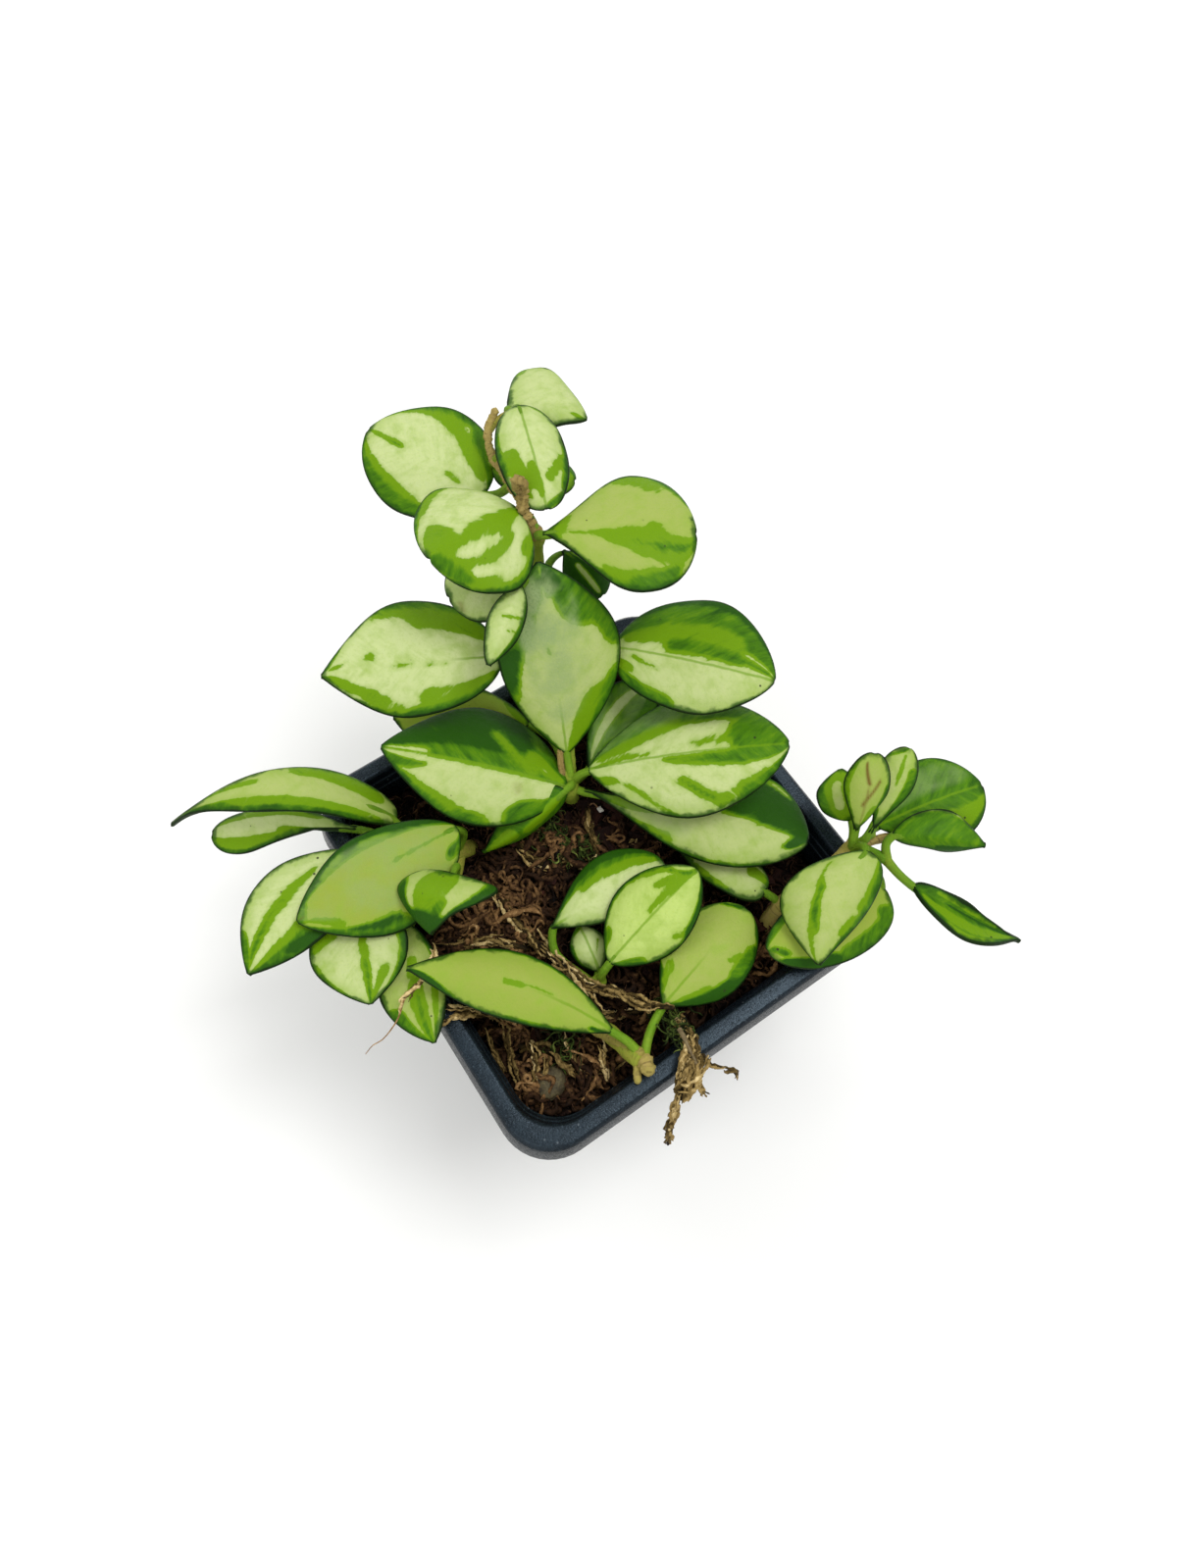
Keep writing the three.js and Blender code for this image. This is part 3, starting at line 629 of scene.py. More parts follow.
@dataclass
class Leaf:
    """One fleshy leaf. Its blade runs from heel to tip, and its stalk leaves the stem at root.

    widest is where the blade is widest, and left_widest is where its left half is if that
    differs. heel_shape and tip_shape are blunt when small. cup and fold are degrees that the
    halves hang down, and far_fold is the right half's own fold. arch and sweep are millimetres
    that the midrib rises and swings, and bias makes the left half wider. tone is 0 for pale
    cream, 1 for olive and -1 for sunny yellow, and rib is how far the midrib shows. Each mark is
    a shade, two places on the blade as shares of its length and half width, and how far the
    shade reaches round the line between them, also as a share of the half width. Frosts and
    scars are laid in the same way.
    """

    root: tuple[float, float, float]
    heel: tuple[float, float, float]
    tip: tuple[float, float, float]
    width: float
    widest: float = 0.5
    heel_shape: float = 0.75
    tip_shape: float = 0.8
    cup: float = 25.0
    fold: float = 6.0
    far_fold: float | None = None
    left_widest: float | None = None
    arch: float = 2.0
    sweep: float = 0.0
    roll: float = 0.0
    bias: float = 0.0
    ground: Shade = CREAM
    tone: float = 0.3
    rib: float = 0.3
    marks: tuple = ()
    frosts: tuple = ()
    scars: tuple = ()

    THICKNESS = 1.5
    EDGE_SHARE = 0.5
    TIP_HALF_WIDTH = 0.5
    SOFT = 0.07
    MARGIN_WAVE = 0.55

    def axes(self) -> tuple[np.ndarray, np.ndarray, np.ndarray, np.ndarray, float]:
        """Returns the heel, the directions along, across and out of the blade, and its length."""
        heel = np.array(self.heel, float)
        along = np.array(self.tip, float) - heel
        length = float(np.linalg.norm(along))
        along /= length
        level = np.array((0.0, 0.0, 1.0)) - along[2] * along
        level /= np.linalg.norm(level)
        left = np.cross(level, along)
        turn = math.radians(self.roll)
        normal = level * math.cos(turn) + left * math.sin(turn)
        return heel, along, np.cross(normal, along), normal, length

    def half_width(self, u: np.ndarray, v: np.ndarray) -> np.ndarray:
        """Returns how far the blade's left or right half reaches at shares of its length."""
        left = self.left_widest or self.widest
        share = np.power(u, math.log(0.5) / np.log(np.where(v > 0, left, self.widest)))
        swell = np.maximum(np.sin(math.pi * share), 0.0)
        shape = np.where(share < 0.5, self.heel_shape, self.tip_shape)
        half = np.maximum(self.width / 2 * np.power(swell, shape), self.TIP_HALF_WIDTH)
        return half * (1 + self.bias * np.sign(v))

    def surface(self, u: np.ndarray, v: np.ndarray, wave: float = 0.0, seed: float = 0.0) -> np.ndarray:
        """Finds places on the blade's middle surface.

        Args:
            u: shares of the length, from heel to tip.
            v: shares of the half width, positive on the left.
            wave: height of the gentle waves in the margin.
            seed: shifts the waves.

        Returns:
            Points as rows, in millimetres.
        """
        heel, along, side, normal, length = self.axes()
        half = self.half_width(u, v)
        fold = np.where((v < 0) & (self.far_fold is not None), self.far_fold or 0.0, self.fold)
        slope = np.radians(fold + self.cup * np.abs(v) / 2)
        bow = 4 * u * (1 - u)
        across = half * v * np.cos(slope) + self.sweep * bow
        rise = self.arch * bow - half * np.abs(v) * np.sin(slope)
        margin = np.abs(v) ** 3 * bow
        rise = rise + wave * margin * np.sin(u * 11.0 + seed * 2.3 + np.sign(v) * 1.7)
        rise = rise - 0.35 * wave * np.exp(-((v * half) / 1.1) ** 2) * bow
        return (heel + np.outer(u * length, along) + np.outer(across, side) + np.outer(rise, normal))

    def _paint(self, u: np.ndarray, v: np.ndarray, marks: tuple, ground: float) -> np.ndarray:
        """Lays each mark over the one before it, from a level of green all over."""
        aspect = self.axes()[4] / (self.width / 2)
        level = np.full_like(u, ground)
        for shade, u0, v0, u1, v1, first, *rest in marks:
            last = rest[0] if rest else first
            step = np.array([(u1 - u0) * aspect, v1 - v0])
            du = (u - u0) * aspect
            dv = v - v0
            share = np.clip((du * step[0] + dv * step[1]) / max(step.dot(step), 1e-6), 0, 1)
            apart = np.hypot(du - share * step[0], dv - share * step[1])
            reach = first + (last - first) * share
            cover = smooth(self.SOFT, -self.SOFT, apart - reach)
            level = level + (shade.value - level) * cover
        return level

    def _blade(self, name: str, seed: float) -> bpy.types.Object:
        """Shapes a flat grid into the blade and gives it its thickness."""
        deselect_all()
        bpy.ops.mesh.primitive_grid_add(x_subdivisions=28, y_subdivisions=18, size=2.0)
        piece = fresh(name)
        flat = read_points(piece)
        u = 0.5 + 0.5 * np.sin(flat[:, 0] * math.pi / 2)
        v = np.sin(flat[:, 1] * math.pi / 2) * 0.35 + flat[:, 1] * 0.65
        write_points(piece, self.surface(u, v, self.MARGIN_WAVE, seed))
        write_vectors(piece, "sheet", np.column_stack([u, v, np.zeros_like(u)]))
        thin = piece.vertex_groups.new(name="flesh")
        flesh = (1 - v ** 4) * np.sin(math.pi * (0.1 + 0.8 * u))
        for index, weight in enumerate(flesh):
            thin.add([index], float(weight), "REPLACE")
        wall = piece.modifiers.new("wall", "SOLIDIFY")
        wall.thickness = self.THICKNESS * MM
        wall.offset = 0.0
        wall.vertex_group = "flesh"
        wall.thickness_vertex_group = self.EDGE_SHARE
        wall.material_offset = 1
        round_ = piece.modifiers.new("round", "SUBSURF")
        round_.levels = 1
        round_.render_levels = 1
        return piece

    def build(self, name: str, seed: float, upper: bpy.types.Material,
              lower: bpy.types.Material) -> bpy.types.Object:
        """Makes the leaf.

        Args:
            name: the piece's name.
            seed: makes this leaf's pattern its own.
            upper: the skin on top.
            lower: the skin underneath.

        Returns:
            The finished blade.
        """
        piece = self._blade(name, seed)
        piece.data.materials.append(upper)
        piece.data.materials.append(lower)
        apply_modifiers(piece)
        mesh = piece.data
        sheet = np.empty(len(mesh.vertices) * 3, np.float32)
        mesh.attributes["sheet"].data.foreach_get("vector", sheet)
        u, v, _ = np.clip(sheet.reshape(-1, 3).astype(float), -1.0, 1.0).T
        length = self.axes()[4]
        half = self.half_width(np.clip(u, 0.0, 1.0), v)
        ends = np.minimum(u, 1 - u) * length
        rim = np.minimum((1 - np.abs(v)) * half, ends + 0.3)
        green = self._paint(u, v, self.marks, self.ground.value)
        frost = self._paint(u, v, self.frosts, 0.0)
        scar = self._paint(u, v, self.scars, 0.0)
        show = np.clip(1 - u / max(self.rib, 1e-3), 0, 1)
        write_vectors(piece, "place", np.column_stack([u * length, v * half, np.full_like(u, seed * 7.3)]))
        write_vectors(piece, "paint", np.column_stack([green, rim, show]))
        write_vectors(piece, "trait", np.column_stack([np.full_like(u, self.tone), frost, scar]))
        mesh.attributes.remove(mesh.attributes["sheet"])
        piece.vertex_groups.clear()
        mesh.shade_smooth()
        return piece

    def stalk(self) -> np.ndarray:
        """Returns the middle line of the stalk, from the stem into the underside of the blade."""
        heel, along, _, normal, _ = self.axes()
        root = np.array(self.root, float)
        reach = np.linalg.norm(root - heel)
        bend = (heel - along * 0.25 * reach) * 0.65 + root * 0.35
        depths = np.array([[0.45], [0.45], [0.8]])
        under = self.surface(np.array([0.02, 0.12, 0.3]), np.zeros(3)) - normal * depths
        return curve_through([root, bend, *under], 0.8)


# Shoots


@dataclass
class Stem:
    """A woody length of a shoot. age is 0 for green and 1 for dry bark, and rough is how crumbly."""

    radius: float
    route: list[tuple[float, float, float]]
    age: float = 0.45
    rings: float = 0.0
    rough: float = 0.04

    def spacing(self) -> float:
        """Returns the distance between sections, short where the bark is crumbly."""
        return 0.45 if self.rough > 0.1 else 0.9

    def path(self) -> np.ndarray:
        """Returns the stem's middle line."""
        return curve_through(self.route, self.spacing())

    def radii(self, path: np.ndarray, joints: list[tuple[float, float, float]]) -> np.ndarray:
        """Thickens the stem where stalks leave it, and rings it where it is knobby.

        Args:
            path: the stem's middle line.
            joints: where stalks leave the shoot.

        Returns:
            The radius at each point.
        """
        length = np.arange(len(path)) * self.spacing()
        size = np.full(len(path), self.radius)
        size *= 1 + 0.05 * np.sin(length * 0.9 + self.radius * 7)
        size *= 1 + self.rings * np.sin(length * 3.4)
        for joint in joints:
            apart = np.linalg.norm(path - np.array(joint), axis=1)
            size *= 1 + 0.13 * np.exp(-(apart / 2.0) ** 2)
        size[0] *= 0.9
        size[-1] *= 0.6
        return size


@dataclass
class Skins:
    """The finishes that every shoot shares."""

    upper: bpy.types.Material
    lower: bpy.types.Material
    stem: bpy.types.Material


@dataclass
class Shoot:
    """A rooted shoot with its stems, stalks and leaves."""

    node: str
    stems: list[Stem]
    leaves: list[Leaf]
    seed: float

    STALK_RADIUS = 0.95
    STEM_SIDES = 14
    STALK_SIDES = 10

    def build(self, skin: Skins) -> None:
        """Makes every piece of the shoot and lets the first stand for its node."""
        tubes = Tubes()
        joints = [leaf.root for leaf in self.leaves]
        for index, stem in enumerate(self.stems):
            path = stem.path()
            radii = stem.radii(path, joints)
            tubes.add(path, radii, self.STEM_SIDES, stem.age, self.seed + index, stem.rough)
        for index, leaf in enumerate(self.leaves):
            path = leaf.stalk()
            share = np.linspace(0, 1, len(path))
            radii = self.STALK_RADIUS * (1.0 + 0.22 * np.exp(-share * 9) - 0.75 * smooth(0.55, 1.0, share))
            age = 0.08 + 0.22 * np.exp(-share * 7)
            tubes.add(path, radii, self.STALK_SIDES, age, self.seed + 20 + index)
        stalks = tubes.build(self.node + "_stems")
        finish_piece(stalks, skin.stem)
        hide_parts(self.node)
        for index, leaf in enumerate(self.leaves):
            name = f"{self.node}_leaf_{index + 1:02d}"
            blade = leaf.build(name, self.seed + index, skin.upper, skin.lower)
            finish_piece(blade, skin.upper)
            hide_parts(self.node)


def tall_vine() -> Shoot:
    """Returns the tall middle shoot."""
    stems = [
        Stem(1.7, [(5, 18, 62), (5, 18, 74), (3, 17, 86), (10, 28, 93), (14, 38, 101)], 0.35),
        Stem(1.3, [(13, 36, 99), (14, 38, 101), (17, 47, 110), (21, 56, 117), (22, 57, 122)], 0.35),
        Stem(0.9, [(22, 56, 121), (23, 64, 123), (24, 71, 123), (25, 81, 123.5), (27, 85, 125),
                   (30.5, 87, 128)], 0.68, 0.05, 0.26),
        Stem(0.75, [(26.5, 84.5, 124.5), (29.5, 85.5, 126), (34, 85, 127)], 0.5, 0.0, 0.1),
        Stem(1.3, [(22, 57, 121), (21, 61, 127), (22, 63, 131), (21, 63, 135)], 0.76, 0.08, 0.42),
        Stem(0.8, [(5, 18, 73), (3, 19, 89), (5, 23, 93), (8, 25, 95)], 0.78, 0.0, 0.1),
    ]
    leaves = [
        Leaf((4, 17, 88), (6, 22, 93), (18, 51, 123), 28.5, widest=0.54, heel_shape=0.7, tip_shape=0.85,
             cup=20, fold=3, bias=-0.14, tone=0.45, rib=0.36, marks=(
                 (LIME, 0, -0.4, 0.26, -0.68, 0.3), (GREEN, 0.12, -0.98, 0.36, -1, 0.22),
                 (GREEN, 0, 0.8, 0.1, 1, 0.22), (GREEN, 0.4, 1, 0.62, 0.72, 0.28),
                 (DARK, 0.44, 0.95, 0.58, 0.76, 0.2), (GREEN, 0.72, 0.65, 1, 0.6, 0.4, 0.6),
                 (GREEN, 0.78, -0.55, 1, -0.6, 0.36, 0.6), (DARK, 0.8, 0.6, 0.94, -0.5, 0.14, 0.2),
                 (CREAM, 0.62, 0.06, 0.86, 0, 0.13, 0.05), (GREEN, 0.6, -0.95, 0.85, -0.75, 0.22),
                 (LIME, 0.55, 0.05, 0.58, 0.05, 0.05)),
             frosts=((GREEN, 0.34, 0, 0.6, 0, 0.5), (DARK, 0.7, 0.1, 0.95, 0, 0.5, 0.8))),
        Leaf((4, 17, 87), (2, 16, 90), (-29, 43, 100), 31.5, widest=0.45, tip_shape=0.8, cup=20, fold=10,
             bias=-0.14, tone=0.3, rib=3, marks=(
                 (GREEN, 0, -0.5, 1, -0.5, 0.54), (DARK, 0.34, -0.6, 0.88, -0.6, 0.36),
                 (LIME, 0.2, -0.08, 0.42, -0.5, 0.07), (LIME, 0, -0.15, 0.2, -0.35, 0.14),
                 (CREAM, 0.78, -0.05, 0.97, -0.1, 0.06), (GREEN, 0.45, 0.97, 0.92, 0.88, 0.2),
                 (LIME, 0.6, 0.78, 0.82, 0.7, 0.08), (GREEN, 0.78, 0.25, 1, 0.6, 0.05, 0.3),
                 (GREEN, 0, 0.9, 0.2, 0.8, 0.3)),
             scars=((LIME, 0.26, 0.34, 0.27, 0.22, 0.03),)),
        Leaf((4, 17, 88), (1, 15, 91), (-21, 16, 82), 12, widest=0.4, heel_shape=0.7, tip_shape=1.0,
             cup=10, fold=35, roll=50, ground=GREEN, marks=(
                 (LIME, 0.7, 0, 1, 0, 0.4), (LIME, 0.1, 0, 0.5, 0.2, 0.2))),
        Leaf((4, 17, 87), (8, 16, 92), (45, -7, 103), 32, widest=0.52, heel_shape=0.7, tip_shape=0.65,
             cup=30, fold=5, bias=0.11, tone=0.2, rib=1.5, marks=(
                 (GREEN, 0, 0.85, 1, 0.85, 0.42), (LIME, 0.08, 0.3, 0.45, 0.42, 0.13),
                 (LIME, 0.02, 0.06, 0.3, 0.1, 0.07), (CREAM, 0.25, 0.18, 0.76, 0.4, 0.05, 0.14),
                 (LIME, 0.55, 0.12, 0.85, 0.22, 0.07), (GREEN, 0.86, 0.25, 1, 0, 0.42),
                 (GREEN, 0.4, -0.07, 0.95, -0.22, 0.03, 0.2), (LIME, 0.02, -0.9, 0.12, -0.5, 0.12),
                 (LIME, 0.2, -0.55, 0.42, -0.98, 0.07), (GREEN, 0.47, -0.42, 0.66, -0.85, 0.07),
                 (LIME, 0.64, -0.85, 0.85, -0.62, 0.1), (GREEN, 0.78, -0.9, 0.95, -0.8, 0.16),
                 (CREAM, 0.68, -0.45, 0.84, -0.54, 0.07)),
             frosts=((LIME, 0.15, 0.8, 0.6, 0.85, 0.3),)),
        Leaf((4, 17, 85), (5, 15, 86), (39, -25, 91), 27.5, widest=0.6, left_widest=0.72, heel_shape=1.15,
             tip_shape=0.6, cup=30, arch=1, bias=0.26, tone=0.4, rib=0.2, marks=(
                 (GREEN, 0, 0.6, 0.3, 0.9, 0.4), (DARK, 0.55, 0.78, 1, 0.6, 0.6),
                 (CREAM, 0.8, 0.86, 0.88, 0.84, 0.05), (LIME, 0, -0.6, 0.3, 0, 0.35),
                 (LIME, 0.25, -0.95, 0.4, -0.8, 0.18), (GREEN, 0.3, -1, 0.85, -1, 0.1),
                 (DARK, 0.94, -0.4, 1, 0.3, 0.14)),
             frosts=((LIME, 0.1, 0.2, 0.4, -0.2, 0.5),)),
        Leaf((14, 38, 102), (27, 34, 103), (49, 5, 109), 30, heel_shape=0.42, tip_shape=0.66, cup=20,
             fold=5, arch=1, roll=-8, bias=0.24, tone=0.25, rib=3, marks=(
                 (GREEN, 0, 0.8, 1, 0.8, 0.42), (LIME, 0.1, 0.3, 0.72, 0.42, 0.16),
                 (GREEN, 0.35, 0.17, 0.95, 0.2, 0.1), (CREAM, 0.82, 0.08, 0.97, 0.06, 0.05),
                 (DARK, 0.05, 1, 0.95, 1, 0.14), (LIME, 0.14, -0.18, 0.3, -0.3, 0.06),
                 (LIME, 0, -0.45, 0.12, -0.5, 0.12), (GREEN, 0.08, -0.85, 0.38, -0.95, 0.2))),
        Leaf((14, 38, 102), (4, 45, 105), (-32, 62, 106), 30, heel_shape=0.5, tip_shape=0.9,
             cup=20, fold=4, arch=1, roll=8, bias=-0.22, tone=0, rib=0.34, marks=(
                 (LIME, 0.1, 0.7, 0.42, 0.64, 0.16), (LIME, 0.62, 0.85, 0.8, 0.58, 0.18),
                 (GREEN, 0, 0.95, 0.5, 0.97, 0.17), (GREEN, 0.5, 1, 0.85, 1, 0.1),
                 (LIME, 0.86, 0.6, 1, 0.2, 0.2), (LIME, 0.02, -0.65, 0.42, -0.72, 0.25),
                 (LIME, 0.5, -0.8, 0.66, -0.95, 0.16), (GREEN, 0.1, -1, 0.6, -1, 0.17),
                 (LIME, 0.31, 0.05, 0.42, 0.04, 0.035), (LIME, 0.5, 0.01, 0.6, 0.02, 0.04),
                 (LIME, 0.72, -0.2, 0.74, -0.2, 0.07), (LIME, 0.89, -0.25, 0.93, -0.3, 0.08),
                 (GREEN, 0.93, -0.9, 1, -0.5, 0.12))),
        Leaf((5, 21, 88), (4, 35, 88), (-22, 53, 90), 20, cup=10, fold=2, arch=0, tone=1, marks=(
            (LIME, 0, -0.2, 0.1, -0.8, 0.3), (GREEN, 0.6, -0.9, 1, -0.5, 0.3))),
        Leaf((4, 18, 84), (10, 19, 84), (36, 29, 87), 16, widest=0.55, cup=-10, fold=-18, ground=GREEN,
             rib=0, tone=0, marks=((CREAM, 0.12, 0.45, 0.8, 0.3, 0.15),),
             frosts=((LIME, 0.1, 0.2, 0.9, 0.2, 0.6),)),
        Leaf((24, 71, 123), (19, 75, 119), (6, 103, 121), 30, heel_shape=0.45, tip_shape=0.45, cup=20,
             arch=1, roll=10, bias=-0.13, tone=0, rib=0, marks=(
                 (LIME, 0.45, 0.72, 0.95, 0.58, 0.13), (GREEN, 0.3, 0.95, 1, 0.88, 0.22),
                 (GREEN, 0.71, 0, 0.97, -0.03, 0.045), (LIME, 0.2, 0.06, 0.3, 0.02, 0.05),
                 (LIME, 0.1, -0.35, 0.55, -0.72, 0.12), (LIME, 0.5, -0.72, 0.95, -0.92, 0.12),
                 (GREEN, 0, -0.75, 0.25, -0.88, 0.28), (GREEN, 0.3, -0.95, 0.95, -1, 0.14))),
        Leaf((22, 57, 122), (20, 62, 127), (-2, 60.5, 128), 33, heel_shape=0.42, tip_shape=0.48, cup=25,
             bias=-0.06, tone=0.1, rib=0, marks=(
                 (GREEN, 0, 1, 1, 0.97, 0.12), (LIME, 0, 0.08, 0.5, 0.14, 0.17, 0.22),
                 (LIME, 0.3, 0.35, 0.72, 0.52, 0.14), (LIME, 0.8, 0.6, 0.86, -0.35, 0.36, 0.2),
                 (CREAM, 0.36, 0.3, 0.7, 0.28, 0.05, 0.1), (CREAM, 0.48, 0.66, 0.72, 0.62, 0.08),
                 (LIME, 0.03, 0.95, 0.18, 0.72, 0.1), (GREEN, 0.88, 0.7, 1, 0.1, 0.14),
                 (GREEN, 0.45, -0.98, 0.9, -0.9, 0.11), (LIME, 0.5, -0.9, 0.7, -0.8, 0.08))),
        Leaf((34, 85, 126), (34, 88, 125), (48, 77, 123), 22, widest=0.3, heel_shape=0.32,
             tip_shape=0.7, cup=20, bias=0.52, tone=0.2, rib=0, marks=(
                 (LIME, 0.85, -0.1, 0.95, -0.4, 0.14), (LIME, 0, -0.8, 0.15, -0.4, 0.2),
                 (LIME, 0.02, 0.95, 0.1, 0.9, 0.12))),
        Leaf((33, 84, 126), (34, 83, 130), (25, 58, 128), 16, heel_shape=0.3, tip_shape=0.45, tone=0,
             rib=3, marks=(
                 (LIME, 0, 0.7, 0.1, 1, 0.2), (LIME, 0.6, 0.75, 0.74, 0.35, 0.16),
                 (GREEN, 0.5, 1, 0.8, 0.88, 0.18), (DARK, 0.6, 1, 0.75, 0.95, 0.1),
                 (LIME, 0.62, -0.12, 0.85, -0.1, 0.12, 0.2), (LIME, 0.5, -0.6, 0.82, -0.45, 0.25),
                 (GREEN, 0.25, -1, 0.6, -0.92, 0.17), (GREEN, 0.92, 0.8, 1, 0.2, 0.14),
                 (CREAM, 0.86, -0.3, 0.95, -0.3, 0.12))),
        Leaf((25, 78, 124), (25, 80, 120), (38, 67, 119), 14, heel_shape=0.4, tip_shape=0.4, ground=LIME,
             marks=((GREEN, 0.6, 0.9, 1, 0.6, 0.3), (CREAM, 0.2, 0, 0.7, 0, 0.4))),
        Leaf((22, 57, 122), (22, 55, 125), (49, 37, 125), 32.5, widest=0.64, heel_shape=0.74,
             tip_shape=0.42, cup=20, fold=4, bias=0.13, tone=0.7, rib=0.25, marks=(
                 (LIME, 0, -0.6, 0.07, 0.6, 0.25), (GREEN, 0.5, 1, 0.92, 0.94, 0.14),
                 (LIME, 0.56, 0.88, 0.72, 0.74, 0.14), (LIME, 0.2, -0.13, 0.5, -0.15, 0.06, 0.11),
                 (LIME, 0.4, -0.14, 0.7, -0.2, 0.12, 0.26), (LIME, 0.7, -0.25, 0.98, -0.45, 0.24, 0.28),
                 (GREEN, 0.6, -0.22, 0.95, -0.4, 0.03, 0.08),
                 (LIME, 0.71, 0.05, 0.77, 0.03, 0.06), (LIME, 0.44, -0.84, 0.7, -0.8, 0.12, 0.18),
                 (GREEN, 0.25, -1, 0.85, -0.95, 0.1), (GREEN, 0.62, -0.88, 0.84, -0.78, 0.13))),
        Leaf((17, 47, 110), (29, 58, 110), (31, 45, 107), 12, widest=0.6, heel_shape=0.8, tip_shape=0.5,
             ground=DARK, marks=((CREAM, 0.4, -0.12, 0.9, -0.1, 0.12), (LIME, 0.2, 0.4, 0.6, 0.5, 0.2))),
        Leaf((19, 52, 114), (16, 57, 115), (0, 59, 114), 20, heel_shape=0.5, tip_shape=0.4, tone=0,
             marks=((LIME, 0.1, 0.3, 0.5, 0.2, 0.15),), scars=((LIME, 0.9, 0.4, 0.91, 0.7, 0.05),)),
        Leaf((19, 52, 114), (12, 48.5, 122), (-3, 37.5, 119), 8.5, widest=0.45, heel_shape=0.8,
             tip_shape=0.7, cup=10, fold=20, roll=10, tone=0, rib=0, marks=(
                 (LIME, 0.02, 0.2, 0.1, -0.8, 0.12), (GREEN, 0, 1, 1, 0.95, 0.2),
                 (GREEN, 0.5, 0.95, 1, 0.85, 0.28), (LIME, 0.38, 0.8, 0.45, -0.15, 0.1),
                 (LIME, 0.56, 0.6, 0.58, 0.25, 0.08))),
    ]
    return Shoot("tall_vine", stems, leaves, 3.0)


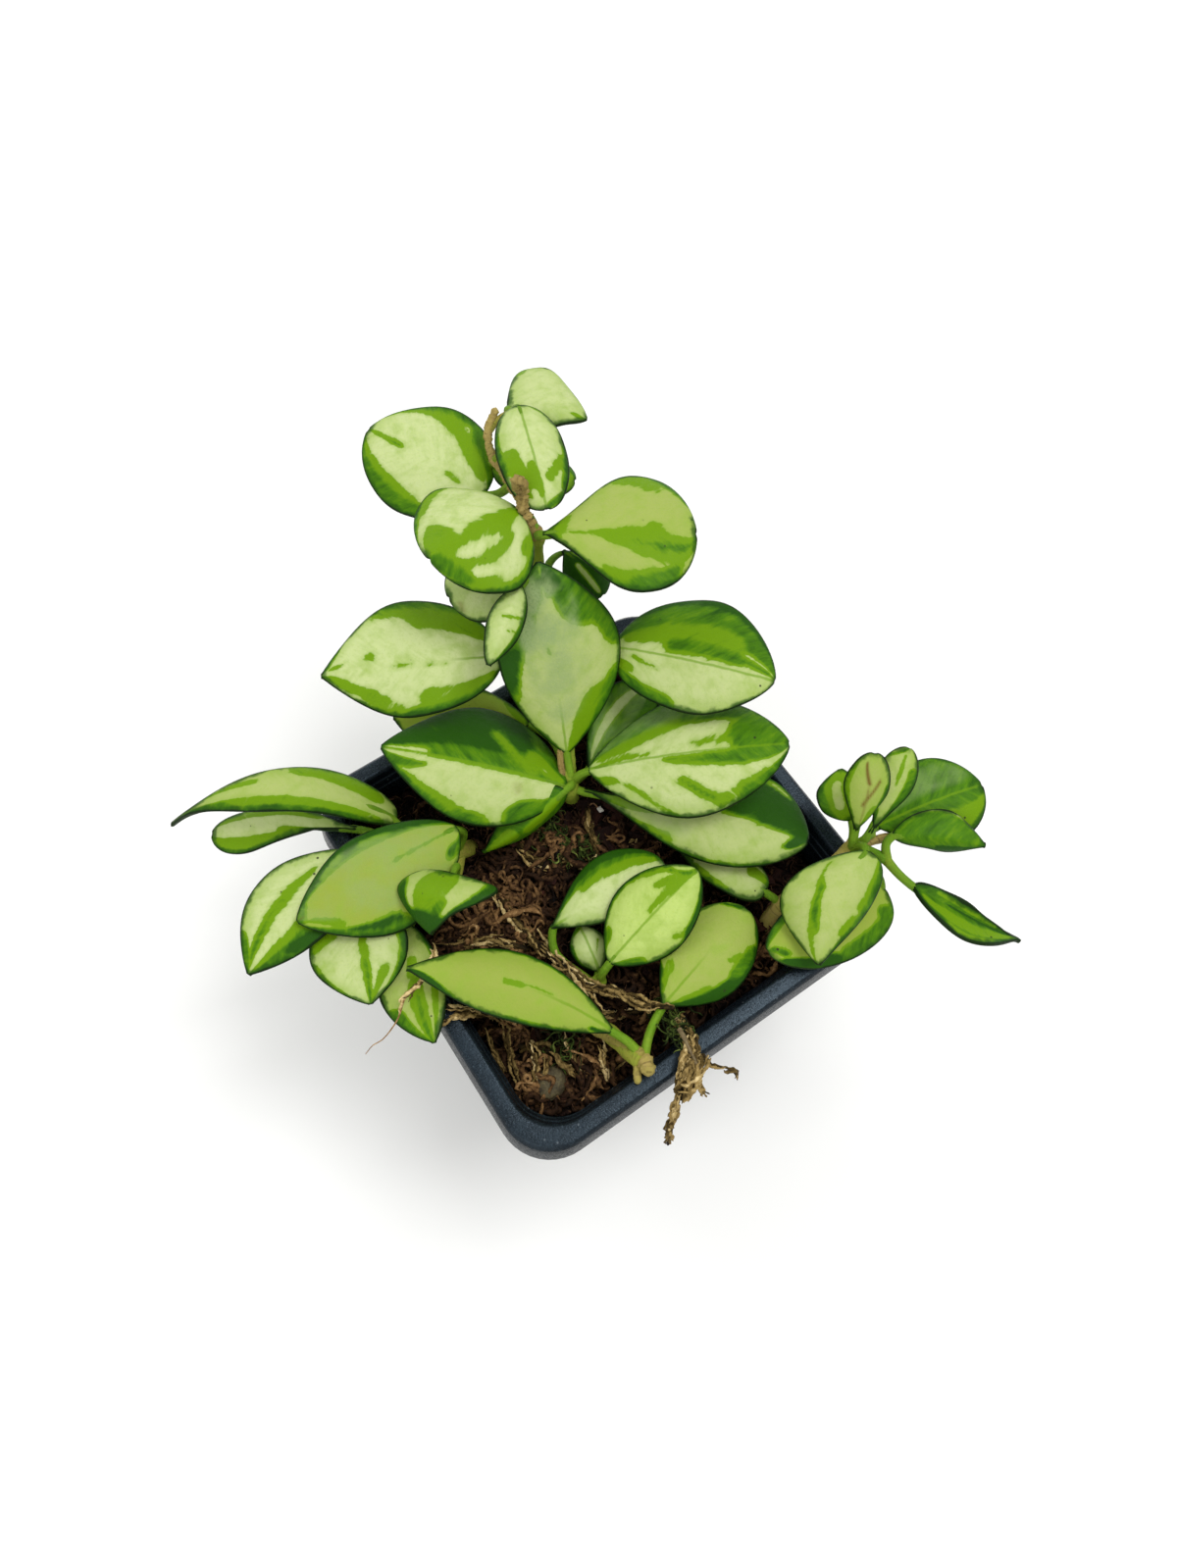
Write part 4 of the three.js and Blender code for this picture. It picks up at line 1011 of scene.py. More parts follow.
def left_vine() -> Shoot:
    """Returns the shoot that leans over the left side of the rim."""
    stems = [
        Stem(1.9, [(-19, 20, 62), (-21, 21, 73), (-25, 20, 79), (-29, 20, 82), (-34, 23, 84),
                   (-38, 27, 85)]),
        Stem(1.4, [(-25, 20, 79), (-32, 12, 82), (-37, 9, 84)]),
    ]
    leaves = [
        Leaf((-37, 27, 84), (-34, 32, 86), (-76, 57, 90), 12.5, widest=0.28, left_widest=0.48,
             heel_shape=0.45, tip_shape=1.5, fold=10, arch=14, sweep=-3, bias=-0.13, tone=0.55,
             rib=0, marks=(
                 (LIME, 0.1, 0.7, 0.8, 0.7, 0.35), (GREEN, 0.15, 0.95, 0.75, 0.98, 0.28),
                 (LIME, 0.1, -0.55, 0.42, -0.8, 0.34), (GREEN, 0.72, 0.7, 1, 0.4, 0.25),
                 (LIME, 0.6, -0.3, 0.9, -0.5, 0.2), (CREAM, 0.2, 0.1, 0.6, 0, 0.14))),
        Leaf((-37, 26, 85), (-42, 35, 86), (-70, 52, 86), 12, widest=0.55, left_widest=0.77, heel_shape=1.2,
             tip_shape=0.4, bias=-0.12, tone=0.1, rib=0, marks=(
                 (LIME, 0.3, 0.62, 1, 0.62, 0.36), (GREEN, 0.25, 0.97, 0.95, 0.97, 0.2),
                 (LIME, 0.2, 0.3, 0.5, 0.1, 0.2),
                 (LIME, 0.3, -0.8, 0.95, -0.8, 0.34))),
        Leaf((-38, 27, 85), (-47, 30, 91), (-77, 17, 91), 20.5, widest=0.52, left_widest=0.4,
             heel_shape=0.7, cup=12, fold=0, bias=-0.09, tone=0.1, rib=0, marks=(
                 (LIME, 0, 0.3, 0.3, 0.5, 0.25), (LIME, 0.5, 0.38, 0.95, 0.25, 0.14),
                 (GREEN, 0.45, 0.8, 1, 0.72, 0.32), (DARK, 0.55, 0.85, 0.7, 0.7, 0.16),
                 (LIME, 0.24, -0.28, 0.94, -0.34, 0.1, 0.17), (GREEN, 0.5, -0.3, 0.9, -0.34, 0.02, 0.08),
                 (GREEN, 0.86, -0.8, 1, -0.5, 0.2))),
        # This leaf's olive tone is partly painted shade, as the leaf turns away from the light.
        Leaf((-26, 20, 80), (-24, 21, 91), (-63, 20, 95), 24.5, heel_shape=0.6, tip_shape=0.75, cup=20,
             fold=3, bias=0.14, tone=1, rib=0.5, marks=(
                 (GREEN, 0.6, 0.95, 0.95, 0.9, 0.18), (DARK, 0.56, 0.9, 0.76, 0.9, 0.21, 0.17),
                 (GREEN, 0, 0.9, 0.1, 0.6, 0.15), (GREEN, 0.05, -0.75, 0.3, -0.85, 0.25),
                 (LIME, 0.02, 0.02, 0.4, 0, 0.05), (GREEN, 0.3, -0.78, 0.9, -0.85, 0.26),
                 (DARK, 0.1, -0.95, 0.9, -0.95, 0.27, 0.22),
                 (LIME, 0.36, -0.66, 0.5, -0.7, 0.08), (LIME, 0.64, -0.76, 0.75, -0.7, 0.09),
                 (GREEN, 0.94, -0.6, 1, 0.5, 0.1), (GREEN, 0.2, 1, 0.95, 1, 0.18),
                 (LIME, 0.82, 0.62, 0.92, 0.4, 0.12)),
             frosts=((LIME, 0.2, 0.1, 0.8, -0.2, 0.7),), scars=((LIME, 0.99, 0, 1, 0, 0.1),)),
        Leaf((-31, 13, 81), (-31, 10, 98), (-41, 2, 96), 22.5, widest=0.42, left_widest=0.1, heel_shape=0.35,
             tip_shape=0.9, cup=30, fold=-12, far_fold=6, arch=4, roll=-10, tone=0.5, rib=0, marks=(
                 (LIME, 0.22, -0.1, 0.65, -0.1, 0.4), (DARK, 0.05, 0.95, 0.8, 0.95, 0.2),
                 (GREEN, 0.62, 0.3, 0.85, 0.1, 0.2), (DARK, 0.87, 0.8, 0.95, -0.8, 0.2, 0.3),
                 (DARK, 0.45, -0.92, 0.85, -0.8, 0.2), (GREEN, 0.3, -1, 0.5, -1, 0.12))),
        Leaf((-33, 12, 82), (-50, 21, 90), (-59, -2, 89), 21.5, heel_shape=0.6, bias=-0.08, cup=12, fold=0,
             arch=1, tone=0.2, rib=0, marks=(
                 (LIME, 0.35, 0.04, 0.97, 0.06, 0.07, 0.17), (GREEN, 0.6, 0.04, 0.97, 0.06, 0.02, 0.1),
                 (GREEN, 0.2, 0.92, 0.95, 0.92, 0.13),
                 (LIME, 0.75, 0.5, 0.95, 0.35, 0.16), (LIME, 0.35, -0.5, 0.42, -0.9, 0.14),
                 (LIME, 0.6, -0.95, 0.9, -0.9, 0.1))),
        Leaf((-37, 9, 84), (-44, 9, 87), (-52, -16, 88), 14.5, heel_shape=0.6, tip_shape=0.75, cup=10,
             fold=2, arch=0, bias=-0.31, tone=0.6, rib=0, marks=(
                 (LIME, 0.3, -0.1, 1, -0.2, 0.14, 0.3), (GREEN, 0.6, -0.14, 1, -0.25, 0.03, 0.15),
                 (GREEN, 0.7, -0.8, 0.95, -0.7, 0.2),
                 (GREEN, 0.1, 0.9, 0.5, 0.8, 0.15), (LIME, 0.5, 0.5, 1, 0.4, 0.15))),
    ]
    return Shoot("left_vine", stems, leaves, 31.0)


def front_shoot() -> Shoot:
    """Returns the short shoot at the front corner."""
    stems = [
        Stem(1.9, [(-22, -24, 62), (-21, -28, 73), (-20, -34, 81), (-19, -40, 85), (-18, -43, 87)], 0.42),
        Stem(0.9, [(-22.5, -31, 79.5), (-20.4, -36, 84), (-18.4, -40, 86.6), (-17.6, -42, 88)],
             0.58, 0.0, 0.15),
        Stem(1.35, [(-19, -40, 85), (-18, -44, 87.5), (-19, -46, 88.5)], 0.64, 0.08, 0.2),
        Stem(0.8, [(-19, -42, 86), (-20.6, -44.4, 86.4), (-21.6, -46, 86)], 0.6, 0.0, 0.12),
    ]
    leaves = [
        Leaf((-18, -42, 87), (-20, -35, 88), (-49, -1, 94), 15.5, heel_shape=0.9, tip_shape=0.9, cup=30,
             arch=3, sweep=-3, tone=0.85, rib=0.5, marks=(
                 (GREEN, 0.1, 0.95, 0.5, 0.97, 0.12), (DARK, 0, 0.9, 0.1, 0.6, 0.14),
                 (GREEN, 0.5, 1, 0.82, 1, 0.08), (GREEN, 0.76, 1, 0.88, 0.7, 0.16),
                 (DARK, 0.84, 0.9, 0.98, 0.3, 0.2),
                 (LIME, 0.3, -0.1, 0.5, -0.05, 0.03), (LIME, 0.47, -0.02, 0.56, 0, 0.09),
                 (DARK, 0, -0.9, 1, -1, 0.08))),
        Leaf((-18, -43, 87), (-8, -36, 86), (20, -29, 85), 20.5, widest=0.52, heel_shape=0.85,
             tip_shape=0.42, cup=30, tone=0.75, rib=0.6, marks=(
                 (LIME, 0.03, 0.7, 0.25, 0.6, 0.17), (DARK, 0, 0.95, 0.2, 0.95, 0.14),
                 (LIME, 0, -0.5, 0.3, -0.6, 0.14), (DARK, 0.05, -0.85, 0.75, -0.95, 0.26),
                 (GREEN, 0.55, -0.72, 0.74, -0.75, 0.15), (LIME, 0.58, -0.45, 0.68, -0.55, 0.06),
                 (DARK, 0.93, 0.8, 0.98, 0.3, 0.07), (GREEN, 0.8, -1, 0.95, -0.8, 0.1))),
    ]
    return Shoot("front_shoot", stems, leaves, 47.0)


def middle_shoot() -> Shoot:
    """Returns the low shoot in the middle of the pot."""
    stems = [Stem(1.5, [(-19, -17, 62), (-18, -20, 73), (-16, -23, 78), (-15, -23, 81)], 0.3)]
    leaves = [
        Leaf((-15, -23, 80), (-12, -22, 86), (14, -17, 93), 19.5, heel_shape=0.65, tip_shape=0.6,
             bias=0.07, tone=-0.8, rib=2, marks=(
                 (GREEN, 0, 0.95, 0.15, 0.68, 0.16), (LIME, 0.6, 0.92, 0.85, 0.72, 0.12),
                 (LIME, 0.7, 0.4, 0.86, 0.3, 0.12), (LIME, 0.5, 0.1, 0.97, 0.12, 0.04, 0.2),
                 (GREEN, 0.03, -0.6, 0.15, -0.75, 0.2), (DARK, 0.02, -0.92, 0.16, -0.95, 0.13),
                 (LIME, 0.5, -0.7, 0.56, -0.85, 0.08), (DARK, 0.2, -1, 0.75, -1, 0.07),
                 (GREEN, 0.86, 0.6, 1, -0.2, 0.07), (DARK, 0.6, -0.95, 0.97, -0.85, 0.13),
                 (DARK, 0.1, 0.98, 0.9, 1, 0.09))),
        Leaf((-17, -21, 77), (-18, -8, 83), (11, -10, 85), 16.5, widest=0.58, heel_shape=0.8, tip_shape=0.45,
             bias=0.2, tone=0, rib=0.2, marks=(
                 (LIME, 0.38, 0.5, 0.95, 0.38, 0.16), (GREEN, 0, 0.92, 1, 0.8, 0.3),
                 (DARK, 0.05, 0.97, 0.95, 0.9, 0.2), (GREEN, 0, 0.4, 0.04, -0.8, 0.09))),
        Leaf((-17, -22, 76), (-14, -21, 79), (-12, -10, 79), 9, tone=0, rib=2, marks=(
            (GREEN, 0.1, 0.95, 0.6, 0.9, 0.15), (GREEN, 0.85, 0.6, 1, -0.2, 0.15),
            (LIME, 0.3, -0.2, 0.55, -0.5, 0.04))),
    ]
    return Shoot("middle_shoot", stems, leaves, 53.0)


def right_vine() -> Shoot:
    """Returns the shoot that leans over the right corner."""
    stems = [
        Stem(2.0, [(22, -33, 62), (24, -33, 72), (28.5, -32, 79), (34, -32, 85)], 0.6, 0.0, 0.08),
        Stem(1.5, [(32, -32, 83), (34, -32, 85), (41, -32, 90.5), (47, -32, 94)], 0.58, 0.0, 0.08),
        Stem(1.0, [(45.5, -32, 93), (50, -33, 93), (55, -34.5, 92)], 0.75),
        Stem(1.1, [(46, -32, 93.5), (48, -35, 94), (49.5, -38.5, 94)], 0.05),
    ]
    leaves = [
        Leaf((29, -32, 79), (27, -27.5, 82), (17, -7, 81), 11.5, widest=0.4, heel_shape=0.4, bias=-0.1,
             tone=0.35, rib=0, marks=(
                 (LIME, 0.35, 0.85, 0.7, 0.7, 0.2), (GREEN, 0.8, 0.6, 1, 0.3, 0.2),
                 (LIME, 0, -0.6, 0.2, -0.4, 0.25))),
        Leaf((45, -32, 94), (45, -35, 99), (23, -48, 93), 20, widest=0.6, left_widest=0.38, heel_shape=0.55,
             tip_shape=0.9, cup=30, fold=10, arch=3, sweep=-3, bias=-0.1, tone=0.5, rib=0, marks=(
                 (LIME, 0.08, 0.72, 0.45, 0.68, 0.1), (LIME, 0.56, 0.66, 0.7, 0.62, 0.1),
                 (GREEN, 0, 0.93, 1, 0.93, 0.18), (LIME, 0.2, -0.65, 0.45, -0.3, 0.04, 0.07),
                 (GREEN, 0.42, -0.3, 0.75, -0.18, 0.06, 0.09), (LIME, 0.75, -0.22, 0.98, -0.35, 0.1, 0.12))),
        Leaf((43, -32, 92), (47, -42.5, 89), (17, -39.5, 89), 18, widest=0.45, heel_shape=0.3, tip_shape=0.5,
             cup=20, bias=0.16, tone=0.9, rib=0, marks=(
                 (GREEN, 0.1, 0.75, 0.5, 0.85, 0.2), (DARK, 0.6, 0.85, 0.9, 0.75, 0.16),
                 (GREEN, 0, 0.9, 0.12, 0.5, 0.15), (GREEN, 0.9, 0.4, 0.97, 0, 0.12),
                 (GREEN, 0.7, -0.9, 1, -0.6, 0.2))),
        Leaf((45, -32, 94), (46, -30, 99), (54, -21, 113), 10.3, widest=0.6, heel_shape=0.9, tip_shape=0.5,
             cup=20, fold=15, tone=0.7, rib=0, marks=(
                 (GREEN, 0.1, -0.75, 0.6, -0.95, 0.26), (LIME, 0.05, -0.3, 0.35, -0.5, 0.2),
                 (LIME, 0, 0.8, 0.85, 0.8, 0.2, 0.12)),
             scars=((DARK, 0.4, 0.1, 0.7, -0.4, 0.05), (DARK, 0.66, 0, 0.88, 0.3, 0.06),
                    (GREEN, 0.1, -0.05, 0.6, 0, 0.03))),
        Leaf((47, -32, 94), (49, -32, 97), (64, -23, 107), 9, widest=0.65, heel_shape=0.9, tip_shape=0.5,
             tone=0.5, marks=(
                 (GREEN, 0, 0.7, 0.25, 0.5, 0.3), (GREEN, 0.1, -0.85, 0.75, -0.7, 0.3),
                 (GREEN, 0.85, 0.9, 1, 0, 0.1), (LIME, 0.6, -0.1, 0.9, 0, 0.1))),
        Leaf((46, -31, 94), (49, -27, 95), (53, -17, 98), 10.5, heel_shape=0.5, tip_shape=0.7, bias=0.4,
             ground=LIME, tone=0.5, marks=(
                 (CREAM, 0.3, 0.4, 0.7, 0.35, 0.13), (GREEN, 0.1, 0.85, 0.9, 0.95, 0.2))),
        Leaf((50, -32, 95), (53, -31, 93), (77, -37, 97), 22, widest=0.58, heel_shape=0.7, tip_shape=0.42,
             bias=0.09, ground=GREEN, rib=1.5, marks=((LIME, 0.6, -0.5, 0.9, -0.6, 0.2),),
             frosts=((LIME, 0.2, 0.5, 0.8, 0.5, 0.3),)),
        Leaf((49.5, -38.5, 94), (53, -35, 97), (68, -48, 97), 10.5, heel_shape=0.6, tip_shape=0.9, cup=10,
             fold=-5, far_fold=60, bias=0.25, ground=GREEN, rib=0, marks=(
                 (CREAM, 0.2, 0.97, 0.8, 0.95, 0.09), (DARK, 0.5, -0.6, 0.9, -0.6, 0.2))),
        # This leaf folds up along its midrib; the dark mark along the midrib is painted shadow in the fold.
        Leaf((49.5, -38.5, 94), (51, -46, 93), (65, -68, 87), 9.8, widest=0.45, left_widest=0.3,
             heel_shape=0.7, tip_shape=1.1, cup=-20, fold=-15, sweep=-1.6, bias=-0.42, ground=GREEN,
             rib=0, marks=(
                 (LIME, 0.1, -0.5, 0.9, -0.45, 0.2), (LIME, 0.3, -0.85, 0.7, -0.85, 0.1),
                 (DARK, 0.3, 0.05, 0.9, -0.1, 0.1), (LIME, 0.2, 0.6, 0.7, 0.5, 0.15))),
    ]
    return Shoot("right_vine", stems, leaves, 61.0)


# Pot


@dataclass
class Pot:
    """Square pot that tapers to its foot, with a flat rim, a short skirt and four drain holes.

    Two narrow ledges run round the inside of the mouth.
    """

    rim_half: float = 50.0
    shoulder_half: float = 48.4
    mouth_half: float = 44.8
    foot_half: float = 35.0
    height: float = 85.0
    foot_corner: float = 8.0
    foot_chamfer: float = 1.0
    wall: float = 1.1
    floor: float = 1.5
    skirt_drop: float = 6.0
    rim_thickness: float = 1.4
    edge_round: float = 0.35
    ledge: float = 0.4
    drain_radius: float = 4.0
    drain_offset: float = 22.0

    def inner_half(self, height: float) -> float:
        """Returns half the inside width at a height."""
        bottom = self.foot_half - self.wall
        share = (height - self.floor) / (self.height - self.floor)
        return bottom + (self.mouth_half - bottom) * share

    def _profile(self) -> list[tuple[float, float]]:
        """Returns half width and height of each turn of the wall, from the foot round to the floor."""
        under = self.height - self.rim_thickness
        lip, upper, lower, plain = (self.height - drop for drop in (0.7, 2.5, 4.6, 9.0))
        return [
            (self.foot_half, self.foot_chamfer),
            (self.inner_half(under) + self.wall, under),
            (self.shoulder_half - 0.9, under),
            (self.rim_half - self.wall, self.height - self.skirt_drop),
            (self.rim_half, self.height - self.skirt_drop),
            (self.shoulder_half + 0.55, self.height - 0.8),
            (self.shoulder_half - 0.2, self.height),
            (self.mouth_half + 0.5, self.height),
            (self.inner_half(lip), lip),
            (self.inner_half(upper), upper),
            (self.inner_half(upper) - self.ledge, self.height - 2.8),
            (self.inner_half(lower) - self.ledge, lower),
            (self.inner_half(lower) - 2 * self.ledge, self.height - 4.9),
            (self.inner_half(plain), plain),
            (self.inner_half(self.floor), self.floor),
        ]

    def _shell(self) -> bpy.types.Object:
        """Draws the foot and pulls the wall up, over the rim and down inside."""
        deselect_all()
        half = self.foot_half - self.foot_chamfer
        bpy.ops.mesh.primitive_plane_add(size=2 * half * MM)
        piece = fresh("square_pot")
        bpy.ops.object.mode_set(mode="EDIT")
        bpy.ops.mesh.select_mode(type="VERT")
        bpy.ops.mesh.select_all(action="SELECT")
        bpy.ops.mesh.bevel(offset=self.foot_corner * MM, segments=10, affect="VERTICES")
        bpy.ops.mesh.select_mode(type="FACE")
        bpy.ops.mesh.select_all(action="SELECT")
        height = 0.0
        for next_half, next_height in self._profile():
            pull(next_height - height, next_height, next_half / half)
            half, height = next_half, next_height
        bpy.ops.mesh.select_all(action="SELECT")
        bpy.ops.mesh.normals_make_consistent(inside=False)
        bpy.ops.object.mode_set(mode="OBJECT")
        return piece

    def _drill(self, piece: bpy.types.Object) -> None:
        """Cuts the four drain holes."""
        for x in (-self.drain_offset, self.drain_offset):
            for y in (-self.drain_offset, self.drain_offset):
                deselect_all()
                size = {"vertices": 32, "radius": self.drain_radius * MM, "depth": 6 * self.floor * MM}
                bpy.ops.mesh.primitive_cylinder_add(location=(x * MM, y * MM, 0.0), **size)
                drill = fresh("drain_drill")
                cut = piece.modifiers.new("drain", "BOOLEAN")
                cut.operation = "DIFFERENCE"
                cut.object = drill
                apply_modifiers(piece)
                bpy.data.objects.remove(drill)

    def build(self) -> None:
        """Makes the pot, which stands for its node."""
        piece = self._shell()
        self._drill(piece)
        edges = piece.modifiers.new("edges", "BEVEL")
        edges.width = self.edge_round * MM
        edges.segments = 3
        edges.limit_method = "ANGLE"
        edges.angle_limit = math.radians(25)
        apply_modifiers(piece)
        bpy.ops.object.shade_smooth_by_angle(angle=math.radians(40))
        upward = np.array([max(vertex.normal.z, 0.0) for vertex in piece.data.vertices])
        write_tones(piece, upward)
        finish_piece(piece, PlasticFinish().build())
        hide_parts("pot")


# Growing medium


@dataclass
class Medium:
    """Bark and coir that fill the pot, with loose fibres, dry moss and a tuft over the rim."""

    pot: Pot
    top: float = 74.0
    relief: float = 1.1
    gap: float = 0.3
    edge_drop: float = 2.0
    corner: float = 9.5
    coir_count: int = 1500
    moss_count: int = 1200
    cells: int = 150
    strands: list[tuple[float, int, list]] = field(default_factory=lambda: [
        (1.9, 44, [(-24, 14, 74), (-23, 6, 76), (-22.5, -6, 78), (-21, -13, 80.3), (-19, -21, 80.6),
                   (-19, -29, 80)]),
        (1.6, 20, [(-26, -22, 74.5), (-14, -32, 76), (-4, -34, 76.5), (6, -36, 76), (16, -37, 74.5)]),
        (1.6, 18, [(-40, -22, 74.5), (-32, -30, 76.5), (-27, -38, 75.5), (-14, -40, 74.5)]),
        (1.6, 16, [(4, 2, 74.5), (14, 0, 75.8), (20, 6, 75.5), (30, 6, 74.5)]),
        (1.8, 22, [(-12, 22, 74.5), (-12, 10, 75.8), (-4, 4, 75.5), (4, -6, 74.5)]),
        (1.1, 34, [(-21, -14, 79.5), (-18, -22.5, 81), (-14, -28, 82.5), (-10.5, -34, 85.5),
                   (-6.5, -38, 88)]),
        (0.9, 9, [(-47.5, -9, 86.8), (-45, -11.7, 86.8), (-41, -14.4, 83), (-38, -18, 77)]),
        (0.9, 9, [(-50, -13.6, 86.8), (-46.6, -13.3, 87), (-42.5, -14.3, 84), (-38, -16, 77)]),
        (1.2, 14, [(-39.6, 4.7, 77), (-36.5, 1.5, 78), (-30, -2, 78), (-24, -8, 77.5)]),
        (0.9, 10, [(6, 13.6, 77), (3.6, 9.2, 77.2), (2, 2.6, 76.8), (-2.2, 1.7, 76)]),
    ])
    tuft: list[tuple[float, int, list]] = field(default_factory=lambda: [
        (1.5, 90, [(-6, -34, 75), (-6.5, -41, 83), (-8, -46, 88), (-12, -49.5, 88), (-15.5, -53, 83)]),
        (1.7, 60, [(-7, -49, 88), (-12, -51.5, 87), (-16, -53.5, 84)]),
        (0.8, 22, [(-14, -51, 87), (-17.5, -54, 83), (-20, -56.5, 78), (-21.5, -58.5, 74),
                   (-21.8, -59.3, 71)]),
        (0.4, 5, [(-8, -47, 88), (-7, -51, 87), (-4, -54, 84), (-2.5, -56, 80), (-2.5, -57, 78)]),
        (0.35, 4, [(-10, -51, 87), (-11, -54, 84), (-9.5, -56, 80)]),
    ])
    strings: list[list] = field(default_factory=lambda: [
        [(-37.5, -17, 77.5), (-38.5, -20.6, 78), (-40.2, -25.3, 77), (-41.4, -30, 76.2),
         (-42.5, -34.7, 75.6)],
        [(-33.6, -30, 79), (-36, -33, 78), (-38, -36.5, 77), (-36.8, -38.7, 76)],
        [(-33, -30, 79), (-31.5, -34, 79), (-30.5, -36.5, 77)],
        [(-22.6, -33, 80), (-24.4, -37.8, 79), (-25.2, -42, 76)],
        [(-35, -24, 78), (-35.8, -29, 77.5), (-38.4, -32.3, 77), (-39.4, -36.4, 75.6)],
        [(-28, -28, 78), (-29, -33, 77.5), (-28, -38, 76), (-30, -41, 75.5)],
        [(-41, -18, 77), (-43, -24, 76), (-42.5, -29, 75.5)],
        [(-40.5, 1.5, 91), (-43, -1.5, 93.2), (-47.7, -4.6, 93), (-52.8, -5.8, 92), (-56, -8.3, 91)],
        [(-42, 1, 93), (-43.5, -2.5, 93.6), (-46, -2, 93.4)],
    ])
    thickets: list[tuple[float, float, float, int]] = field(default_factory=lambda: [
        (-22, 5, 7, 240), (-33, 3, 5.5, 150), (-24, -6, 5, 130), (-36, -18, 6, 90), (-38, -32, 5, 90),
        (-26, -37, 5, 80), (-8, -34, 6, 90), (-6, 9, 5, 100), (8, -4, 8, 70), (20, -38, 6, 60),
        (-10, 24, 9, 90),
    ])
    green_tufts: list[tuple[float, float, float, float, int]] = field(default_factory=lambda: [
        (-3.8, 14, 76, 2.2, 90), (-3.5, 8, 76, 2.0, 50), (1, 5, 76, 1.5, 40), (-8.3, -38, 82, 1.6, 45),
        (-8.6, -43, 86, 1.3, 35), (-22, -25, 79.5, 1.6, 30), (-30, -30, 77, 2.0, 25),
    ])

    def height(self, x: np.ndarray, y: np.ndarray) -> np.ndarray:
        """Returns the surface's height at places."""
        broad = np.sin(x / 7.3 + 0.6) * np.cos(y / 8.1 - 0.4)
        fine = np.sin(x / 2.9 + y / 4.7) * np.cos(y / 3.3 - x / 5.1)
        total = self.top + self.relief * (broad + 0.6 * fine)
        draw = np.random.default_rng(11)
        for _ in range(14):
            turn, wave, start = draw.uniform(0, math.pi), draw.uniform(1.6, 5.0), draw.uniform(0, FULL_TURN)
            lead = x * math.cos(turn) + y * math.sin(turn)
            total = total + 0.075 * wave * np.sin(lead * FULL_TURN / wave + start)
        return total

    def _inside(self, x: np.ndarray, y: np.ndarray, half: float) -> tuple[np.ndarray, np.ndarray]:
        """Pulls places that lie outside the rounded square in to its edge."""
        reach = half - self.corner
        cx, cy = np.clip(x, -reach, reach), np.clip(y, -reach, reach)
        away = np.hypot(x - cx, y - cy)
        keep = np.where(away > self.corner, self.corner / np.maximum(away, 1e-6), 1.0)
        return cx + (x - cx) * keep, cy + (y - cy) * keep

    def _body(self) -> bpy.types.Object:
        """Shapes a grid into the surface and closes the block below it."""
        deselect_all()
        bpy.ops.mesh.primitive_grid_add(x_subdivisions=self.cells, y_subdivisions=self.cells, size=2.0)
        piece = fresh("medium_bed")
        edge = self.top - self.edge_drop
        half = self.pot.inner_half(edge) - self.gap
        flat = read_points(piece)
        x, y = self._inside(flat[:, 0] * half, flat[:, 1] * half, half)
        z = self.height(x, y)
        rim = np.maximum(np.abs(flat[:, 0]), np.abs(flat[:, 1])) > 0.999
        z[rim] = edge
        write_points(piece, np.column_stack([x, y, z]))
        bpy.ops.object.mode_set(mode="EDIT")
        bpy.ops.mesh.select_mode(type="EDGE")
        bpy.ops.mesh.select_all(action="DESELECT")
        bpy.ops.mesh.select_non_manifold()
        floor = self.pot.floor + self.gap
        pull(floor - edge, floor, (self.pot.inner_half(floor) - self.gap) / half)
        bpy.ops.mesh.edge_face_add()
        bpy.ops.mesh.select_all(action="SELECT")
        bpy.ops.mesh.normals_make_consistent(inside=False)
        bpy.ops.object.mode_set(mode="OBJECT")
        piece.data.shade_smooth()
        return piece

    def _fibres(self, name: str, starts: np.ndarray, turns: np.ndarray, draw: np.random.Generator,
                length: tuple[float, float], radius: tuple[float, float], curl: float,
                lift: float, twist: float, tones: np.ndarray, rings: int = 9,
                rough: float = 0.0) -> bpy.types.Object:
        """Lofts many short curled fibres at once.

        Args:
            name: the piece's name.
            starts: where each fibre's middle lies.
            turns: its heading in radians.
            draw: the seeded random draws.
            length: shortest and longest fibre.
            radius: thinnest and thickest fibre.
            curl: how much it turns on its way.
            lift: how far its middle arches up.
            twist: how fast its flat section turns, in radians a millimetre.
            tones: how light it is.
            rings: sections along each fibre.
            rough: share of the radius by which single points stand out or lie deep.

        Returns:
            One piece of all the fibres.
        """
        count, sides = len(starts), 4
        share = np.linspace(-0.5, 0.5, rings)
        size = draw.uniform(*length, count)[:, None]
        thick = draw.uniform(*radius, count)[:, None] * (1 - 0.75 * np.abs(2 * share) ** 2.5)
        bend = draw.normal(0, curl, (count, 1)) * share
        bend = bend + draw.normal(0, curl, (count, 1)) * np.sin(share * 7)
        heading = turns[:, None] + bend
        step = size / (rings - 1)
        x = np.cumsum(np.cos(heading) * step, axis=1)
        y = np.cumsum(np.sin(heading) * step, axis=1)
        x += starts[:, :1] - x.mean(axis=1, keepdims=True)
        y += starts[:, 1:2] - y.mean(axis=1, keepdims=True)
        arch = draw.uniform(0, lift, (count, 1)) * np.cos(math.pi * share)
        wave = draw.uniform(0, 0.35 * lift, (count, 1)) * np.sin(share * 12 + draw.uniform(0, 6, (count, 1)))
        z = starts[:, 2:] + arch + wave
        path = np.stack([x, y, z], axis=2)
        lead = np.gradient(path, axis=1)
        lead /= np.linalg.norm(lead, axis=2, keepdims=True) + 1e-9
        side = np.cross(lead, np.array((0.0, 0.0, 1.0)))
        side /= np.linalg.norm(side, axis=2, keepdims=True) + 1e-9
        other = np.cross(side, lead)
        angles = np.arange(sides) * 2 * math.pi / sides
        spin = draw.uniform(0, math.pi, (count, 1)) + share * twist * size
        wide = side * np.cos(spin)[:, :, None] + other * np.sin(spin)[:, :, None]
        flat = other * np.cos(spin)[:, :, None] - side * np.sin(spin)[:, :, None]
